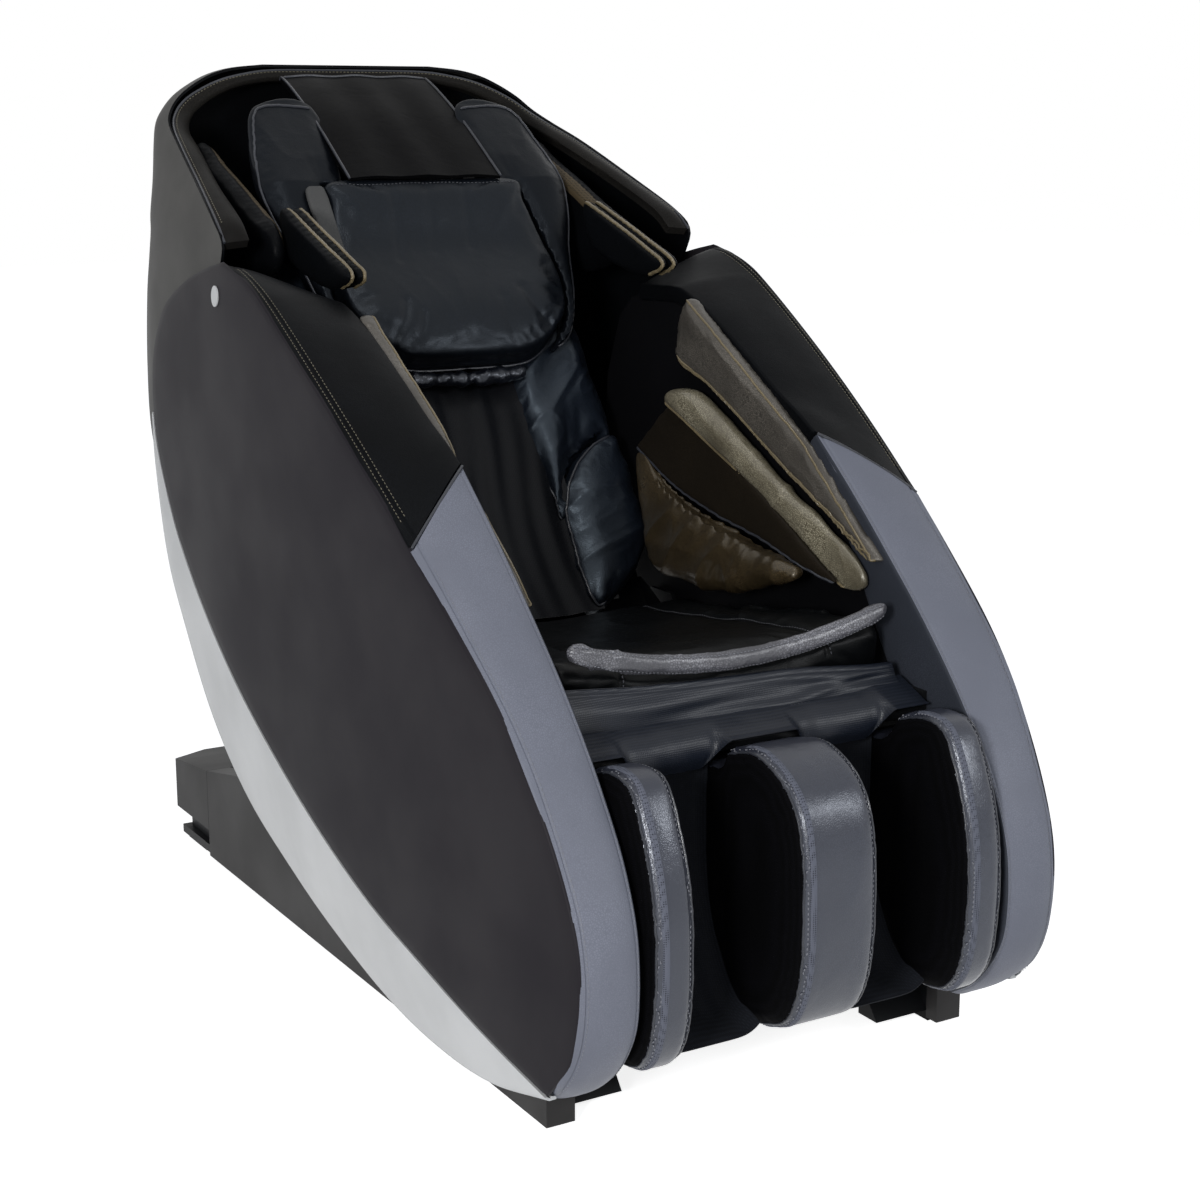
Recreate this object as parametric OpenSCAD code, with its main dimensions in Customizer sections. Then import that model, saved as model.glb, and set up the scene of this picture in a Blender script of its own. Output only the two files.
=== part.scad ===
// Full-body massage chair: a floor base, a seat shell between two tall side pods that
// slides forward and tilts, a reclining back with a hood and a massage carriage, and a
// leg rest that lifts and lengthens.
// X runs across the chair (+X is the sitter's left), Y runs from front to back, Z is up.
// The origin is on the floor under the middle of the chair.

/* [Overall] */
// Half of the width over the side panels
half_w = 391; // [389:1:398]
// Rearmost face of the base
rear_y = 708.4; // [706.4:1:710.4]
// Half of the width over the base covers
base_half_w = 306; // [304:0.5:306]

/* [Side pods] */
// Radius of the side panels seen from above
side_radius = 6667; // [6300:1:7200]
// Place along the chair where the side panels bulge most
side_mid_y = 135; // [120:1:150]
// Thickness of the side panels and the silver trim
panel_t = 4; // [3:0.5:4]
// Inner faces of the pods, measured from the middle
inner_x = 262; // [262:0.5:264]
// Thickness of the padded rim around each pod
rim_t = 14; // [10:1:14]

/* [Back] */
// Lean of the back from the vertical, in degrees
lean = 33.7; // [33.5:0.1:33.9]
// Half width of the hood over its side wings
hood_half_w = 372; // [366:1:372]
// Wall thickness of the hood
hood_t = 4; // [3:0.5:5]
// Half width of the back cushion
back_half_w = 232; // [220:1:233]
// Thickness of the back cushion
back_t = 70; // [60:1:71]
// Thickness of the head pillow
pillow_t = 68; // [50:1:70]

/* [Seat] */
// Half width of the seat cushion
seat_half_w = 236; // [220:1:240]
// Half height of the bright roll along the seat's front edge
band_r = 14; // [10:0.5:15]

/* [Leg rest] */
// Width of the middle fin
centre_fin_w = 110; // [90:1:112]
// Outer face of the side fins
side_fin_x = 250; // [240:1:250]
// Width of each side fin
side_fin_w = 60; // [40:1:62]

/* [Pivots and drives] */
// Height of the pin that the back reclines about
recline_z = 425; // [425:0.5:426]
// Radius of the recline and tilt pins
pin_r = 10; // [8:0.5:11]
// Radius of the carriage rollers
roller_r = 16; // [16:0.5:16]
// Radius of the drive screws
screw_r = 7; // [6:0.5:8]
// Running clearance around shafts and pins
fit = 0.05; // [0.03:0.01:0.08]

/* [Hidden] */
$fn = 48;

recline_pin = [80, recline_z];     // [y, z] of the back's pivot
tilt_pin = [180, 240];             // [y, z] of the seat shell's pivot on the carriage
leg_pin = [-515, 416];             // [y, z] of the leg rest's hinge
back_foot = [10, 455];             // [y, z] where the back cushion's face starts
rail_top = 66;                     // height of the slide rails' running faces
rail_x = [200, 220];               // span of each rail across the chair
roller_z = rail_top + 0.3 + roller_r;
screw_z = 97;                      // height of the slide screw, above the rollers' axles
gap = 0.5;                         // gap between neighbouring solids

// ---------------------------------------------------------------- shapes

// Point on the smooth curve between b and c, with neighbours a and d
function blend4(a, b, c, d, t) =
  0.5 * (2 * b + (c - a) * t + (2 * a - 5 * b + 4 * c - d) * t * t + (3 * b - a - 3 * c + d) * t * t * t);

// Smooth open curve through the points p, n steps to a span
function curve(p, n = 3) = let (last = len(p) - 1) concat(
  [for (i = [0:last - 1]) for (j = [0:n - 1])
    blend4(p[max(i - 1, 0)], p[i], p[i + 1], p[min(i + 2, last)], j / n)],
  [p[last]]);

// Smooth closed curve through the points p
function ring(p, n = 3) = let (m = len(p))
  [for (i = [0:m - 1]) for (j = [0:n - 1])
    blend4(p[(i + m - 1) % m], p[i], p[(i + 1) % m], p[(i + 2) % m], j / n)];

function reverse(p) = [for (i = [len(p) - 1:-1:0]) p[i]];

// Outer face of the side panels at a place y along the chair
function skin_x(y) = half_w - pow(y - side_mid_y, 2) / (2 * side_radius);

// Solid through a row of closed rings that each have the same even number of points.
// The end faces are stitched between a ring's first and second halves.
module loft(rings) {
  m = len(rings[0]);
  last = len(rings) - 1;
  points = [for (r = rings) each r];
  walls = [for (i = [0:last - 1]) for (j = [0:m - 1]) let (a = i * m + j, b = i * m + (j + 1) % m)
    each [[a, b, a + m], [b, b + m, a + m]]];
  caps = [for (j = [0:m / 2 - 2]) each [
    [j, m - 1 - j, j + 1], [j + 1, m - 1 - j, m - 2 - j],
    [last * m + j, last * m + j + 1, last * m + m - 1 - j],
    [last * m + j + 1, last * m + m - 2 - j, last * m + m - 1 - j]]];
  polyhedron(points = points, faces = concat(walls, caps));
}

// Outline of [y, z] points, extruded from x0 to x1
module slab(x0, x1, outline) {
  translate([x0, 0, 0]) rotate([90, 0, 90]) linear_extrude(x1 - x0) polygon(outline);
}

module box(low, high) {
  translate(low) cube(high - low);
}

// Cylinder along X from x0 to x1 around the point c = [y, z]
module bar_x(x0, x1, c, r) {
  translate([x0, c[0], c[1]]) rotate([0, 90, 0]) cylinder(r = r, h = x1 - x0);
}

// Cylinder along Y
module bar_y(y0, y1, x, z, r) {
  translate([x, y0, z]) rotate([-90, 0, 0]) cylinder(r = r, h = y1 - y0);
}

// Straight rod of radius r between two [y, z] points at x
module rod_between(x, a, b, r) {
  d = b - a;
  translate([x, a[0], a[1]]) rotate([-atan2(d[0], d[1]), 0, 0]) cylinder(r = r, h = norm(d));
}

// The sitter's left as drawn, then its mirror image
module both() {
  children();
  mirror([1, 0, 0]) children();
}

module right() {
  mirror([1, 0, 0]) children();
}

// Frame of the back: X across, Y into the cushion, Z up along the back
module on_back() {
  translate([0, back_foot[0], back_foot[1]]) rotate([-lean, 0, 0]) children();
}

// Outline in the back's own plane, from one distance in front of the back to another
module over_back(from, to, outline) {
  on_back() rotate([90, 0, 0]) translate([0, 0, from]) linear_extrude(to - from) polygon(outline);
}

// ---------------------------------------------------------------- base

foot_front_y = -562;
cover_split_y = 520;
cover_top = [[-480, 76], [-350, 78], [-150, 92], [50, 124], [200, 160], [300, 180], [350, 180],
  [cover_split_y - 1, 145]];

module base_frame() {
  color("#2b2b2d") {
    both() {
      box([272, -540, 14], [300, 500, 50]);
      slab(190, 273, [[-538, 14.2], [-500, 14.2], [-500, 42], [-516, 42]]);
      rear_skid();
    }
    for (y = [-430, 60, 460]) box([-271, y, 14], [271, y + 34, 49.5]);
    difference() {
      box([-14, 120, 40], [14, 130, 106]);
      bar_y(119, 131, 0, screw_z, screw_r + fit);
    }
    box([-14, 90, 40], [14, 122, 49.5]);
    box([-140, 493, 13], [140, 690, 17.5]);
    bar_x(-190, 190, [668, 27], 6 - fit);
  }
}

// Floor plate under one rear corner, with the ear that holds the wheel axle
module rear_skid() {
  box([192, 493, 7], [302, 650, 20]);
  box([200, 530, 18], [290, 640, 47.5]);
  slab(184, 194, [[630, 12], [684, 12], [684, 38], [652, 42], [630, 42]]);
}

module base_side_cover() {
  color("#3a3a3c") difference() {
    slab(268, base_half_w, concat([[foot_front_y, 6], [foot_front_y, 75]], cover_top,
      [[cover_split_y - 1, 6]]));
    slab(260, base_half_w - 3, concat([[-541, -5], [-541, 71]], [for (p = cover_top) p - [0, 3]],
      [[cover_split_y + 9, 142], [cover_split_y + 9, -5]]));
  }
}

module base_rear_cover() {
  color("#3f3f41") difference() {
    rear_block(0, 48, 0);
    rear_block(3, 51, 3);
    box([-150, rear_y - 20, 68], [-62, rear_y + 1, 102]);
  }
}

// Block over the full width with chamfered corners and a sloping top, shrunk by wall
module rear_block(wall, floor_z, drop) {
  w = base_half_w - wall;
  y0 = cover_split_y + wall;
  y1 = rear_y - wall;
  intersection() {
    translate([0, 0, floor_z]) linear_extrude(110)
      polygon([[-w, y0], [w, y0], [w, y1 - 46], [w - 66, y1], [66 - w, y1], [-w, y1 - 46]]);
    slab(-w - 1, w + 1, [[y0 - 1, 40], [y1 + 1, 40], [y1 + 1, 121 - drop], [640, 131 - drop],
      [y0 - 1, 145 - drop]]);
  }
}

module base_feet() {
  color("#17171a") both() {
    box([272, -540, 0], [300, -490, 13.9]);
    box([274, -60, 0], [298, 0, 13.9]);
    box([250, 560, 0], [296, 640, 6.9]);
  }
}

module slide_rails() {
  color("#8d9094") both() {
    box([rail_x[0], -428, 50], [rail_x[1], 490, rail_top]);
    box([rail_x[0] - 5, -428, 50], [rail_x[0] - gap, 490, rail_top + 9]);
  }
}

module control_box() {
  color("#4b4f4a") {
    box([-230, 540, 51.2], [-30, 680, 96]);
    for (x = [-200:24:-56]) box([x, 560, 96], [x + 4, 660, 104]);
  }
}

module air_pump() {
  color("#6d7072") {
    box([30, 550, 51.2], [150, 680, 92]);
    box([150, 575, 51.2], [220, 655, 84]);
    for (y = [580, 615, 650]) translate([90, y, 92]) cylinder(r = 7, h = 14);
  }
}

// Inlet for a mains lead and the pocket of the power switch, set in the rear cover
module mains_inlet() {
  color("#1a1a1c") difference() {
    union() {
      box([-149.5, rear_y - 28, 68.5], [-62.5, rear_y + 0.5, 101.5]);
      box([-154, rear_y + 0.01, 64], [-58, rear_y + 2.5, 106]);
    }
    box([-140, rear_y - 24.5, 76], [-112, rear_y + 5, 95]);
    box([-98, rear_y - 16, 72], [-72, rear_y + 5, 98]);
  }
  color("#b9a765") for (x = [-133, -126, -119]) box([x - 1, rear_y - 25, 83], [x + 1, rear_y - 14, 87]);
}

// Rocker on its pin, pressed in at the top in the off position
module power_switch() {
  color("#8c1f1f") intersection() {
    slab(-97, -73, [[rear_y - 8, 76], [rear_y - 8, 94], [rear_y - 2, 95.5], [rear_y + 1.2, 85],
      [rear_y + 4.5, 75]]);
    bar_x(-97, -73, [rear_y - 2, 85], 11.6);
  }
}

module transport_wheels() {
  color("#1d1d20") both() difference() {
    bar_x(150, 178, [668, 27], 20.5);
    bar_x(149, 179, [668, 27], 6);
    for (x = [148, 172]) difference() {
      bar_x(x, x + 8, [668, 27], 15);
      bar_x(x, x + 8, [668, 27], 9);
    }
  }
  color("#1d1d20") difference() {
    bar_x(-160, 160, [668, 27], 9);
    bar_x(-161, 161, [668, 27], 6);
  }
}

module slide_motor() {
  color("#55585c") {
    box([-32, 446, 58], [32, 490, 118]);
    bar_x(32, 96, [468, 84], 22);
  }
}

module slide_screw() {
  color("#a9acb0") {
    bar_y(118, 445.5, 0, screw_z, screw_r);
  }
}

// ---------------------------------------------------------------- sliding carriage

module carriage_frame() {
  color("#303235") difference() {
    union() {
      both() {
        box([224, -236, 70], [236, 306, 108]);
        slab(236, 248, [[110, 80], [255, 80], [tilt_pin[0] + 26, tilt_pin[1] + 18],
          [tilt_pin[0] - 26, tilt_pin[1] + 18]]);
        bar_x(248, 259.5, tilt_pin, pin_r - fit);
      }
      box([-224, -236, 84], [224, -206, 108]);
      box([-224, 262, 76], [224, 300, 104]);
      box([-20, 262, 80], [20, 300, 114]);
      for (x = [-16, 8]) slab(x, x + 8, [[-20, 84], [40, 84], [14, 134], [-14, 134]]);
      box([-224, -8, 84], [224, 28, 108]);
    }
    for (y = [-190, 240]) bar_x(-260, 260, [y, roller_z], 6 + fit);
    bar_y(255, 310, 0, screw_z, screw_r + fit);
    bar_x(-20, 20, [0, 120], 6 + fit);
  }
}

// Axle with its two flanged rollers, at a place y
module roller_axle(y) {
  color("#bfc2c6") {
    bar_x(-240, 240, [y, roller_z], 6);
    both() bar_x(rail_x[0] + 1, rail_x[1], [y, roller_z], roller_r);
  }
}

module carriage_rollers_front() {
  roller_axle(-190);
}

module carriage_rollers_rear() {
  roller_axle(240);
}

tilt_foot = [0, 120];
tilt_head = [-200, 300];

module tilt_actuator() {
  actuator_body(0, tilt_foot, tilt_head, 150);
}

module tilt_rod() {
  actuator_rod(0, tilt_foot, tilt_head, 60, 2.5);
}

// Housing of a linear actuator from its pin a towards b, with its own foot pin at x
module actuator_body(x, a, b, length) {
  u = (b - a) / norm(b - a);
  v = [-u[1], u[0]];
  color("#494c50") difference() {
    union() {
      rod_between(x, a + u * 36, a + u * length, 17);
      slab(x - 7.5, x + 7.5, [a - v * 9, a + u * 42 - v * 9, a + u * 42 + v * 9, a + v * 9]);
      bar_x(x - 7.5, x + 7.5, a, 9);
      bar_x(x - 17, x + 17, a, 6);
    }
    rod_between(x, a + u * 46, a + u * (length + 1), 8.05);
  }
}

// Chrome rod that starts inside the housing and ends in an eye around b
module actuator_rod(x, a, b, start, play) {
  u = (b - a) / norm(b - a);
  color("#c9ccd0") difference() {
    union() {
      rod_between(x, a + u * start, b - u * 14, 8);
      bar_x(x - 4, x + 4, b, 8 + play + 6);
    }
    bar_x(x - 5, x + 5, b, 6 + play);
  }
}

// Two ears at x with a pin of 12 mm across them at b, on a stem that ends at the outline
module clevis(x, b, outline, hole = false) {
  difference() {
    for (s = [-17, 9]) slab(x + s, x + s + 8, outline);
    if (hole) bar_x(x - 20, x + 20, b, 6 + fit);
  }
  if (!hole) bar_x(x - 9.5, x + 9.5, b, 6);
}

// ---------------------------------------------------------------- seat

recline_foot = [-250, 200];
recline_head = [130, 330];
leg_foot = [-150, 300];
leg_head = [-481, 376];

module seat_frame() {
  color("#2f3134") {
    both() difference() {
      union() {
        slab(252, 259, [[-532, 406], [-532, 442], [-500, 442], [-440, 405], [30, 405], [52, 455],
          [108, 455], [126, 395], [206, 262], [206, 216], [154, 216], [100, 330], [-400, 330],
          [-440, 372]]);
        bar_x(259, inner_x - gap, [-446, 393], 7);
      }
      bar_x(250, 263, recline_pin, pin_r + fit);
      bar_x(250, 263, tilt_pin, pin_r + fit);
      bar_x(250, 263, leg_pin, 8 + fit);
    }
    box([-252, -440, 381], [252, -410, 404]);
    box([-252, -215, 350], [252, -185, 380]);
    box([-252, -30, 350], [252, 0, 380]);
    clevis(90, recline_foot, [[-215, 350], [-266, 190], [-240, 184], [-185, 350]], true);
    clevis(0, tilt_head, [[-215, 352], [-214, 290], [-186, 290], [-185, 352]]);
    clevis(-90, leg_foot, [[-208, 356], [-208, 374], [-150, 374], [-134, 345], [-134, 290],
      [-150, 284], [-166, 290], [-168, 345], [-185, 352]], true);
  }
}

module seat_cushion() {
  color("#17181c") slab(-seat_half_w, seat_half_w, concat(
    curve([[-470, 490], [-440, 506], [-300, 490], [-150, 470], [-40, 458], [-16, 452]]),
    [[-12, 382], [-400, 382], [-406, 407], [-462, 407]]));
}

// Roll along the seat's front edge, higher at its ends
module seat_front_roll() {
  color("#7a7c82") loft([for (i = [-6:6]) let (x = i * 39, z = 505 + 37 * pow(i / 6, 2))
    [for (k = [0:9]) [x, -481 - 10 * cos(k * 36 + 18), z + band_r * sin(k * 36 + 18)]]]);
}

module front_apron() {
  color("#20232b") slab(-seat_half_w, seat_half_w,
    [[-482, 488], [-474, 488], [-486, 470], [-499, 436], [-505, 436], [-503, 466], [-495, 484]]);
}

// ---------------------------------------------------------------- side pods

// Edge of the side panel along the rim, from the top to the low tip, as [y, z]
panel_front = [[150, 955], [70, 935], [0, 900], [-162, 800], [-307, 700], [-437, 600], [-552, 500],
  [-629, 400], [-680, 300], [-692, 220], [-676, 140], [-632, 84]];
// Edge against the silver trim, from the low tip to the top
panel_rear = [[-632, 84], [-500, 116], [-370, 154], [-240, 193], [-100, 250], [30, 313],
  [150, 378], [258, 450], [345, 521], [400, 578], [457, 665], [473, 735], [463, 800],
  [427, 853], [380, 888], [296, 921], [217, 942], [150, 955]];

module side_panel() {
  color("#33333a") intersection() {
    slab(300, half_w + 1, concat(curve(panel_front), curve(panel_rear)));
    linear_extrude(1000) polygon(concat([for (y = [-700:50:500]) [skin_x(y), y]],
      [for (y = [500:-50:-700]) [skin_x(y) - panel_t, y]]));
  }
}

// Outer and inner edges of the rim, each as [y, z], from the top of the pod to the seam
cap_outer = [[146, 953], [100, 945], [50, 926], [0, 900], [-80, 852], [-162, 800], [-240, 748],
  [-307, 700], [-362, 661]];
cap_inner = [[152, 902], [112, 903], [66, 904], [38, 900], [-25, 876], [-115, 828], [-190, 785],
  [-240, 760], [-281, 737]];
// The same two edges from the seam to the low tip
low_outer = [[-367, 657], [-437, 600], [-500, 547], [-552, 500], [-596, 450], [-632, 395],
  [-660, 345], [-680, 300], [-690, 255], [-692, 210], [-684, 160], [-662, 115], [-628, 82],
  [-592, 63]];
low_inner = [[-286, 733], [-365, 668], [-440, 601], [-505, 540], [-565, 477], [-612, 420],
  [-650, 366], [-675, 316], [-689, 270], [-693, 215], [-687, 165], [-665, 122], [-634, 87],
  [-597, 62]];

// Direction into the pod at point i of an edge
function inward(edge, i) = let (a = edge[max(i - 1, 0)], b = edge[min(i + 1, len(edge) - 1)],
  t = (b - a) / norm(b - a)) [-t[1], t[0]];

// Padded strip between two edges; its last tuck rows draw in behind the silver trim
module rim_strip(outer, inner, tuck = 0) {
  last = len(outer) - 1;
  loft([for (i = [0:last]) let (
      o = outer[i], p = inner[i], q = o + inward(outer, i) * rim_t, r = p + inward(inner, i) * rim_t,
      xo = skin_x(o[0]) - panel_t - 2 * gap - (i > last - tuck ? 24 : 0))
    [[xo, q[0], q[1]], [inner_x, r[0], r[1]], [inner_x, p[0], p[1]], [xo, o[0], o[1]]]]);
}

module arm_cap() {
  color("#16181b") rim_strip(curve(cap_outer, 2), curve(cap_inner, 2));
}

module lower_rim() {
  color("#7d808b") rim_strip(curve(low_outer, 2), curve(low_inner, 2), 4);
}

// Silver trim: edge on the panel [y, z], then the outer edge [y, z, x] and its flange's end
trim_rows = [
  [[473, 720], [476, 716, 382], 378], [[457, 665], [474, 640, 381], 376],
  [[400, 578], [448, 510, 378], 373], [[345, 521], [405, 415, 372], 367],
  [[258, 450], [330, 290, 362], 354], [[150, 378], [215, 198, 357], 332],
  [[30, 313], [80, 134, 351], 314], [[-100, 250], [-60, 87, 348], 314],
  [[-240, 193], [-229, 49, 346], 314], [[-370, 154], [-366, 37, 344], 314],
  [[-500, 116], [-492, 44, 342], 318], [[-631, 83], [-628, 78, 341], 330]];

module silver_trim() {
  color("#c4c5c6") loft([for (row = curve([for (r = trim_rows) concat(r[0], r[1], r[2])])) let (
      a = [row[0] + 0.8, row[1] - 0.8], b = [row[2], row[3], row[4]], x = skin_x(a[0]) - 0.2)
    [[x, a[0], a[1]], [b[2], b[0], b[1]], [row[5], b[0], b[1]],
     [row[5], b[0], b[1] + panel_t], [b[2] - panel_t, b[0], b[1] + panel_t],
     [x - panel_t, a[0], a[1]]]]);
}

module inner_wall() {
  color("#15161a") slab(inner_x, inner_x + 4, concat(
    [for (p = curve(concat([for (i = [0:7]) cap_inner[i] + inward(cap_inner, i) * (rim_t + 1)],
      [for (i = [1:11]) low_inner[i] + inward(low_inner, i) * (rim_t + 1)]), 1)) p],
    [[-560, 100], [-430, 98], [-200, 150], [60, 205], [180, 212], [235, 270], [262, 380],
     [262, 600], [250, 760], [215, 850], [180, 880]]));
}

// Plain oval badges, one on each side panel
module side_badges() {
  color("#d4d4d2") both() translate([skin_x(172) + 0.2, 172, 909]) rotate([0, 90, 0])
    rotate([0, 0, 20]) linear_extrude(1.6) scale([1.25, 1]) circle(r = 11.5);
}

upper_pad_edge = [[26, 892], [34, 845], [30, 811], [-55, 774], [-139, 740], [-288, 674], [-362, 645],
  [-418, 618], [-435, 580], [-428, 551], [-452, 546], [-460, 568], [-436, 594], [-362, 660], [-278, 727],
  [-185, 786], [-79, 850], [2, 898]];
arm_roll_edge = [[28, 743], [-17, 724], [-90, 692], [-173, 657], [-258, 614], [-332, 573], [-380, 554],
  [-408, 558], [-411, 571], [-386, 587], [-331, 616], [-256, 653], [-172, 696], [-105, 731], [-34, 763],
  [22, 763]];
arm_panel_edge = [[118, 668], [30, 732], [-17, 730], [-90, 698], [-173, 663], [-258, 620], [-332, 579],
  [-378, 558], [-374, 551], [-289, 563], [-212, 580], [-81, 600], [24, 628]];
side_bolster_edge = [[-388, 545], [-289, 559], [-212, 576], [-81, 596], [24, 624], [100, 656], [112, 640],
  [60, 560], [0, 500], [-150, 492], [-300, 505], [-385, 518]];

module arm_upper_pad() {
  color("#1b1a18") slab(237, inner_x - gap, ring(upper_pad_edge));
}

// Roll along the forearm, the wall below it, and the side bolster of the seat. The roll's inner
// face draws outwards towards the front.
module arm_lower_pad() {
  color("#201e1a") {
    intersection() {
      slab(205, 258, arm_roll_edge);
      linear_extrude(1000) polygon([[212, 40], [258, 40], [258, -430], [243, -430]]);
    }
    slab(228, 236, arm_panel_edge);
    intersection() {
      slab(188, 230, side_bolster_edge);
      translate([0, 130, 0]) rotate([90, 0, 0]) linear_extrude(600)
        polygon([[188, 480], [230, 480], [230, 668], [188, 548]]);
    }
  }
}

module recline_actuator() {
  actuator_body(90, recline_foot, recline_head, 230);
}

module recline_rod() {
  actuator_rod(90, recline_foot, recline_head, 130, 4.5);
}

module leg_actuator() {
  actuator_body(-90, leg_foot, leg_head, 200);
}

// The leg rod ends in a plate with an upright slot, because its pin moves along an arc
module leg_rod() {
  color("#c9ccd0") {
    rod_between(-90, leg_foot + (leg_head - leg_foot) * 0.3, leg_foot + (leg_head - leg_foot) * 0.965, 8);
    difference() {
      slab(-94, -86, [[-465, 354], [-465, 395], [-491.5, 395], [-491.5, 354]]);
      slab(-95, -85, [[-471.5, 358.5], [-471.5, 390.5], [-488, 390.5], [-488, 358.5]]);
    }
  }
}

// ---------------------------------------------------------------- back

// Hood sections: height, half width, front edge and rear face along the chair
hood_rows = [
  [400, 238, 330, 500], [450, 260, 318, 545], [520, 318, 312, 602], [600, 360, 305, 652],
  [680, 371, 296, 682], [780, 372, 275, 693], [880, 372, 240, 688], [940, 372, 205, 676],
  [976, 372, 192, 666], [1004, 369, 229, 660], [1050, 354, 329, 654], [1101, 336, 446, 652],
  [1131, 321, 522, 650], [1152, 304, 558, 648], [1172, 284, 572, 645], [1190, 256, 581, 641],
  [1204, 226, 588, 635], [1213, 190, 594, 628], [1218, 140, 600, 620]];
hood_power = 4.5;  // exponent of the hood's rounded plan

// Half-round section of [x, y, z] points from one wing's edge, around the rear, to the other
function hood_section(z, w, front, rear, steps) = [for (i = [0:steps]) let (a = 180 * i / steps)
  [-w * sign(cos(a)) * pow(abs(cos(a)), 2 / hood_power),
   front + (rear - front) * pow(sin(a), 2 / hood_power), z]];

module hood_solid(inset, reach) {
  loft([for (r = hood_rows) let (
      w = r[1] * hood_half_w / 372, drop = inset * max(0, (r[0] - 1000) / 218),
      base = r[0] == hood_rows[0][0] ? inset : 0)
    hood_section(r[0] + base - drop, w - inset, r[2] - reach, r[3] - inset, 19)]);
}

module back_hood() {
  color("#454547") difference() {
    hood_solid(0, 0);
    hood_solid(hood_t, 60);
  }
}

// Padded rim of the hood's opening: outer edge and inner edge [x, y, z], tip to crown
rim_rows = [
  [[366, 192, 977], [334, 192, 980]], [[362, 229, 1003], [331, 229, 1006]],
  [[346, 329, 1047], [322, 329, 1047]], [[328, 446, 1097], [304, 446, 1094]],
  [[312, 520, 1126], [293, 514, 1118]], [[294, 557, 1147], [276, 554, 1138]],
  [[273, 572, 1165], [254, 570, 1155]], [[243, 581, 1181], [226, 578, 1171]],
  [[212, 588, 1193], [196, 585, 1183]], [[177, 594, 1201], [164, 591, 1190]],
  [[130, 599, 1207], [125, 596, 1194]], [[50, 601, 1208], [50, 598, 1194]]];

function flip(p) = [-p[0], p[1], p[2]];

module hood_rim() {
  back = [0, 16, 0];
  rows = concat(rim_rows, [for (r = reverse(rim_rows)) [flip(r[0]), flip(r[1])]]);
  color("#5a5b60") loft([for (r = rows) [r[0], r[1], r[1] + back, r[0] + back]]);
}

module back_frame() {
  color("#35373a") {
    on_back() difference() {
      union() {
        both() {
          box([208, 75, 40], [231, 103, 690]);
          box([190, 75.5, 50], [209, 78, 670]);
          box([190, 100.8, 50], [209, 102.6, 670]);
          box([190, 76, 38], [209, 102, 52]);
          box([225, 76, 10], [237, 102, 70]);
          box([210, 100, 250], [228, 118, 274]);
        }
        box([-231, 75, 16], [231, 103, 40]);
        box([-208, 75, 664], [208, 103, 688]);
        box([-24, 103, 18], [24, 206, 30]);
        box([-24, 103, 668], [24, 206, 680]);
        clevis(90, [169, -37], [[75, 16], [152, -44], [180, -52], [186, -26], [103, 38]]);
      }
      translate([0, 186, 0]) cylinder(r = screw_r + fit, h = 700);
    }
    both() {
      slab(232.5, 238, [[54, 410], [54, 440], [80, 455], [112, 470], [122, 450], [102, 400]]);
      bar_x(234, 259, recline_pin, pin_r - fit);
      slab(150, 170, [[478, 972], [548, 1063], [562, 1110], [550, 1120], [532, 1082], [462, 993]]);
      bar_y(430, 660, 180, 930, 10);
    }
  }
}

module back_cushion() {
  color("#1c1e24") on_back() slab(-back_half_w, back_half_w, concat(
    curve([[20, 0], [3, 20], [0, 90], [0, 300], [0, 500], [0, 670], [8, 700]]),
    [[30, 716], [back_t, 700], [back_t, 4], [52, -6]]));
}

// Outline of the head pad's lobe beside the pillow, as [x, up along the back]
lobe_edge = [[125, 836], [207, 838], [238, 762], [247, 690], [241, 634], [222, 569], [204, 490],
  [178, 428], [150, 401], [145, 407], [168, 437], [182, 480], [184, 527], [176, 582], [164, 642],
  [151, 682], [125, 684]];

// Its face draws back above the pillow, level with the cover
module head_pad() {
  color("#16181b") both() intersection() {
    over_back(4, 57, lobe_edge);
    on_back() slab(120, 240, [[0, 390], [-60, 390], [-60, 680], [-10, 842], [0, 842]]);
  }
}

module head_cover() {
  color("#121316") slab(-123, 123, concat(
    curve([[336, 1068], [440, 1131], [520, 1176], [571, 1199], [582, 1196]]),
    curve([[580, 1188], [530, 1160], [450, 1112], [410, 1064]])));
}

wing_pad_edge = [[236, 930], [228, 985], [320, 1035], [430, 1080], [510, 1106], [540, 1060],
  [500, 960], [380, 900]];

// Lining pads inside the hood's wings
module wing_pads() {
  color("#1a1a1b") both() slab(268, 288, ring(wing_pad_edge, 2));
}

shoulder_pad_edge = [[262, 1018], [150, 984], [62, 950], [44, 936], [58, 924], [120, 915], [230, 940],
  [266, 978]];

// Two air pads above each shoulder
module shoulder_pads() {
  color("#1c1b1a") both() for (x = [228, 246]) slab(x, x + 13, ring(shoulder_pad_edge, 2));
}

module travel_screw() {
  color("#a9acb0") on_back() translate([0, 186, 12]) cylinder(r = screw_r, h = 674);
}

module massage_carriage() {
  color("#4a4d52") on_back() difference() {
    union() {
      box([-150, 168, 62], [150, 206, 158]);
      both() {
        box([140, 84, 66], [150, 168, 154]);
        for (z = [78, 142]) translate([0, 89.4, z]) {
          bar_x(150, 205, [0, 0], 5);
          bar_x(192, 206, [0, 0], 10.8);
        }
      }
    }
    translate([0, 186, 50]) cylinder(r = screw_r + fit, h = 120);
    bar_x(-151, 151, [125, 110], 8 + fit);
  }
}

// Shaft with four wheels set off centre, which knead as it turns
module kneading_rollers() {
  color("#9a8f86") on_back() {
    bar_x(-153, 153, [125, 110], 8);
    for (x = [-105, -45, 45, 105])
      bar_x(x - 11, x + 11, [125, 110 + (abs(x) > 80 ? 6 : -6)], 30);
  }
}

// Half of the pillow's outline, as [x, up along the back]
pillow_edge = [[88, 388], [130, 407], [164, 444], [178, 480], [180, 527], [172, 580], [160, 640],
  [147, 677]];

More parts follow.
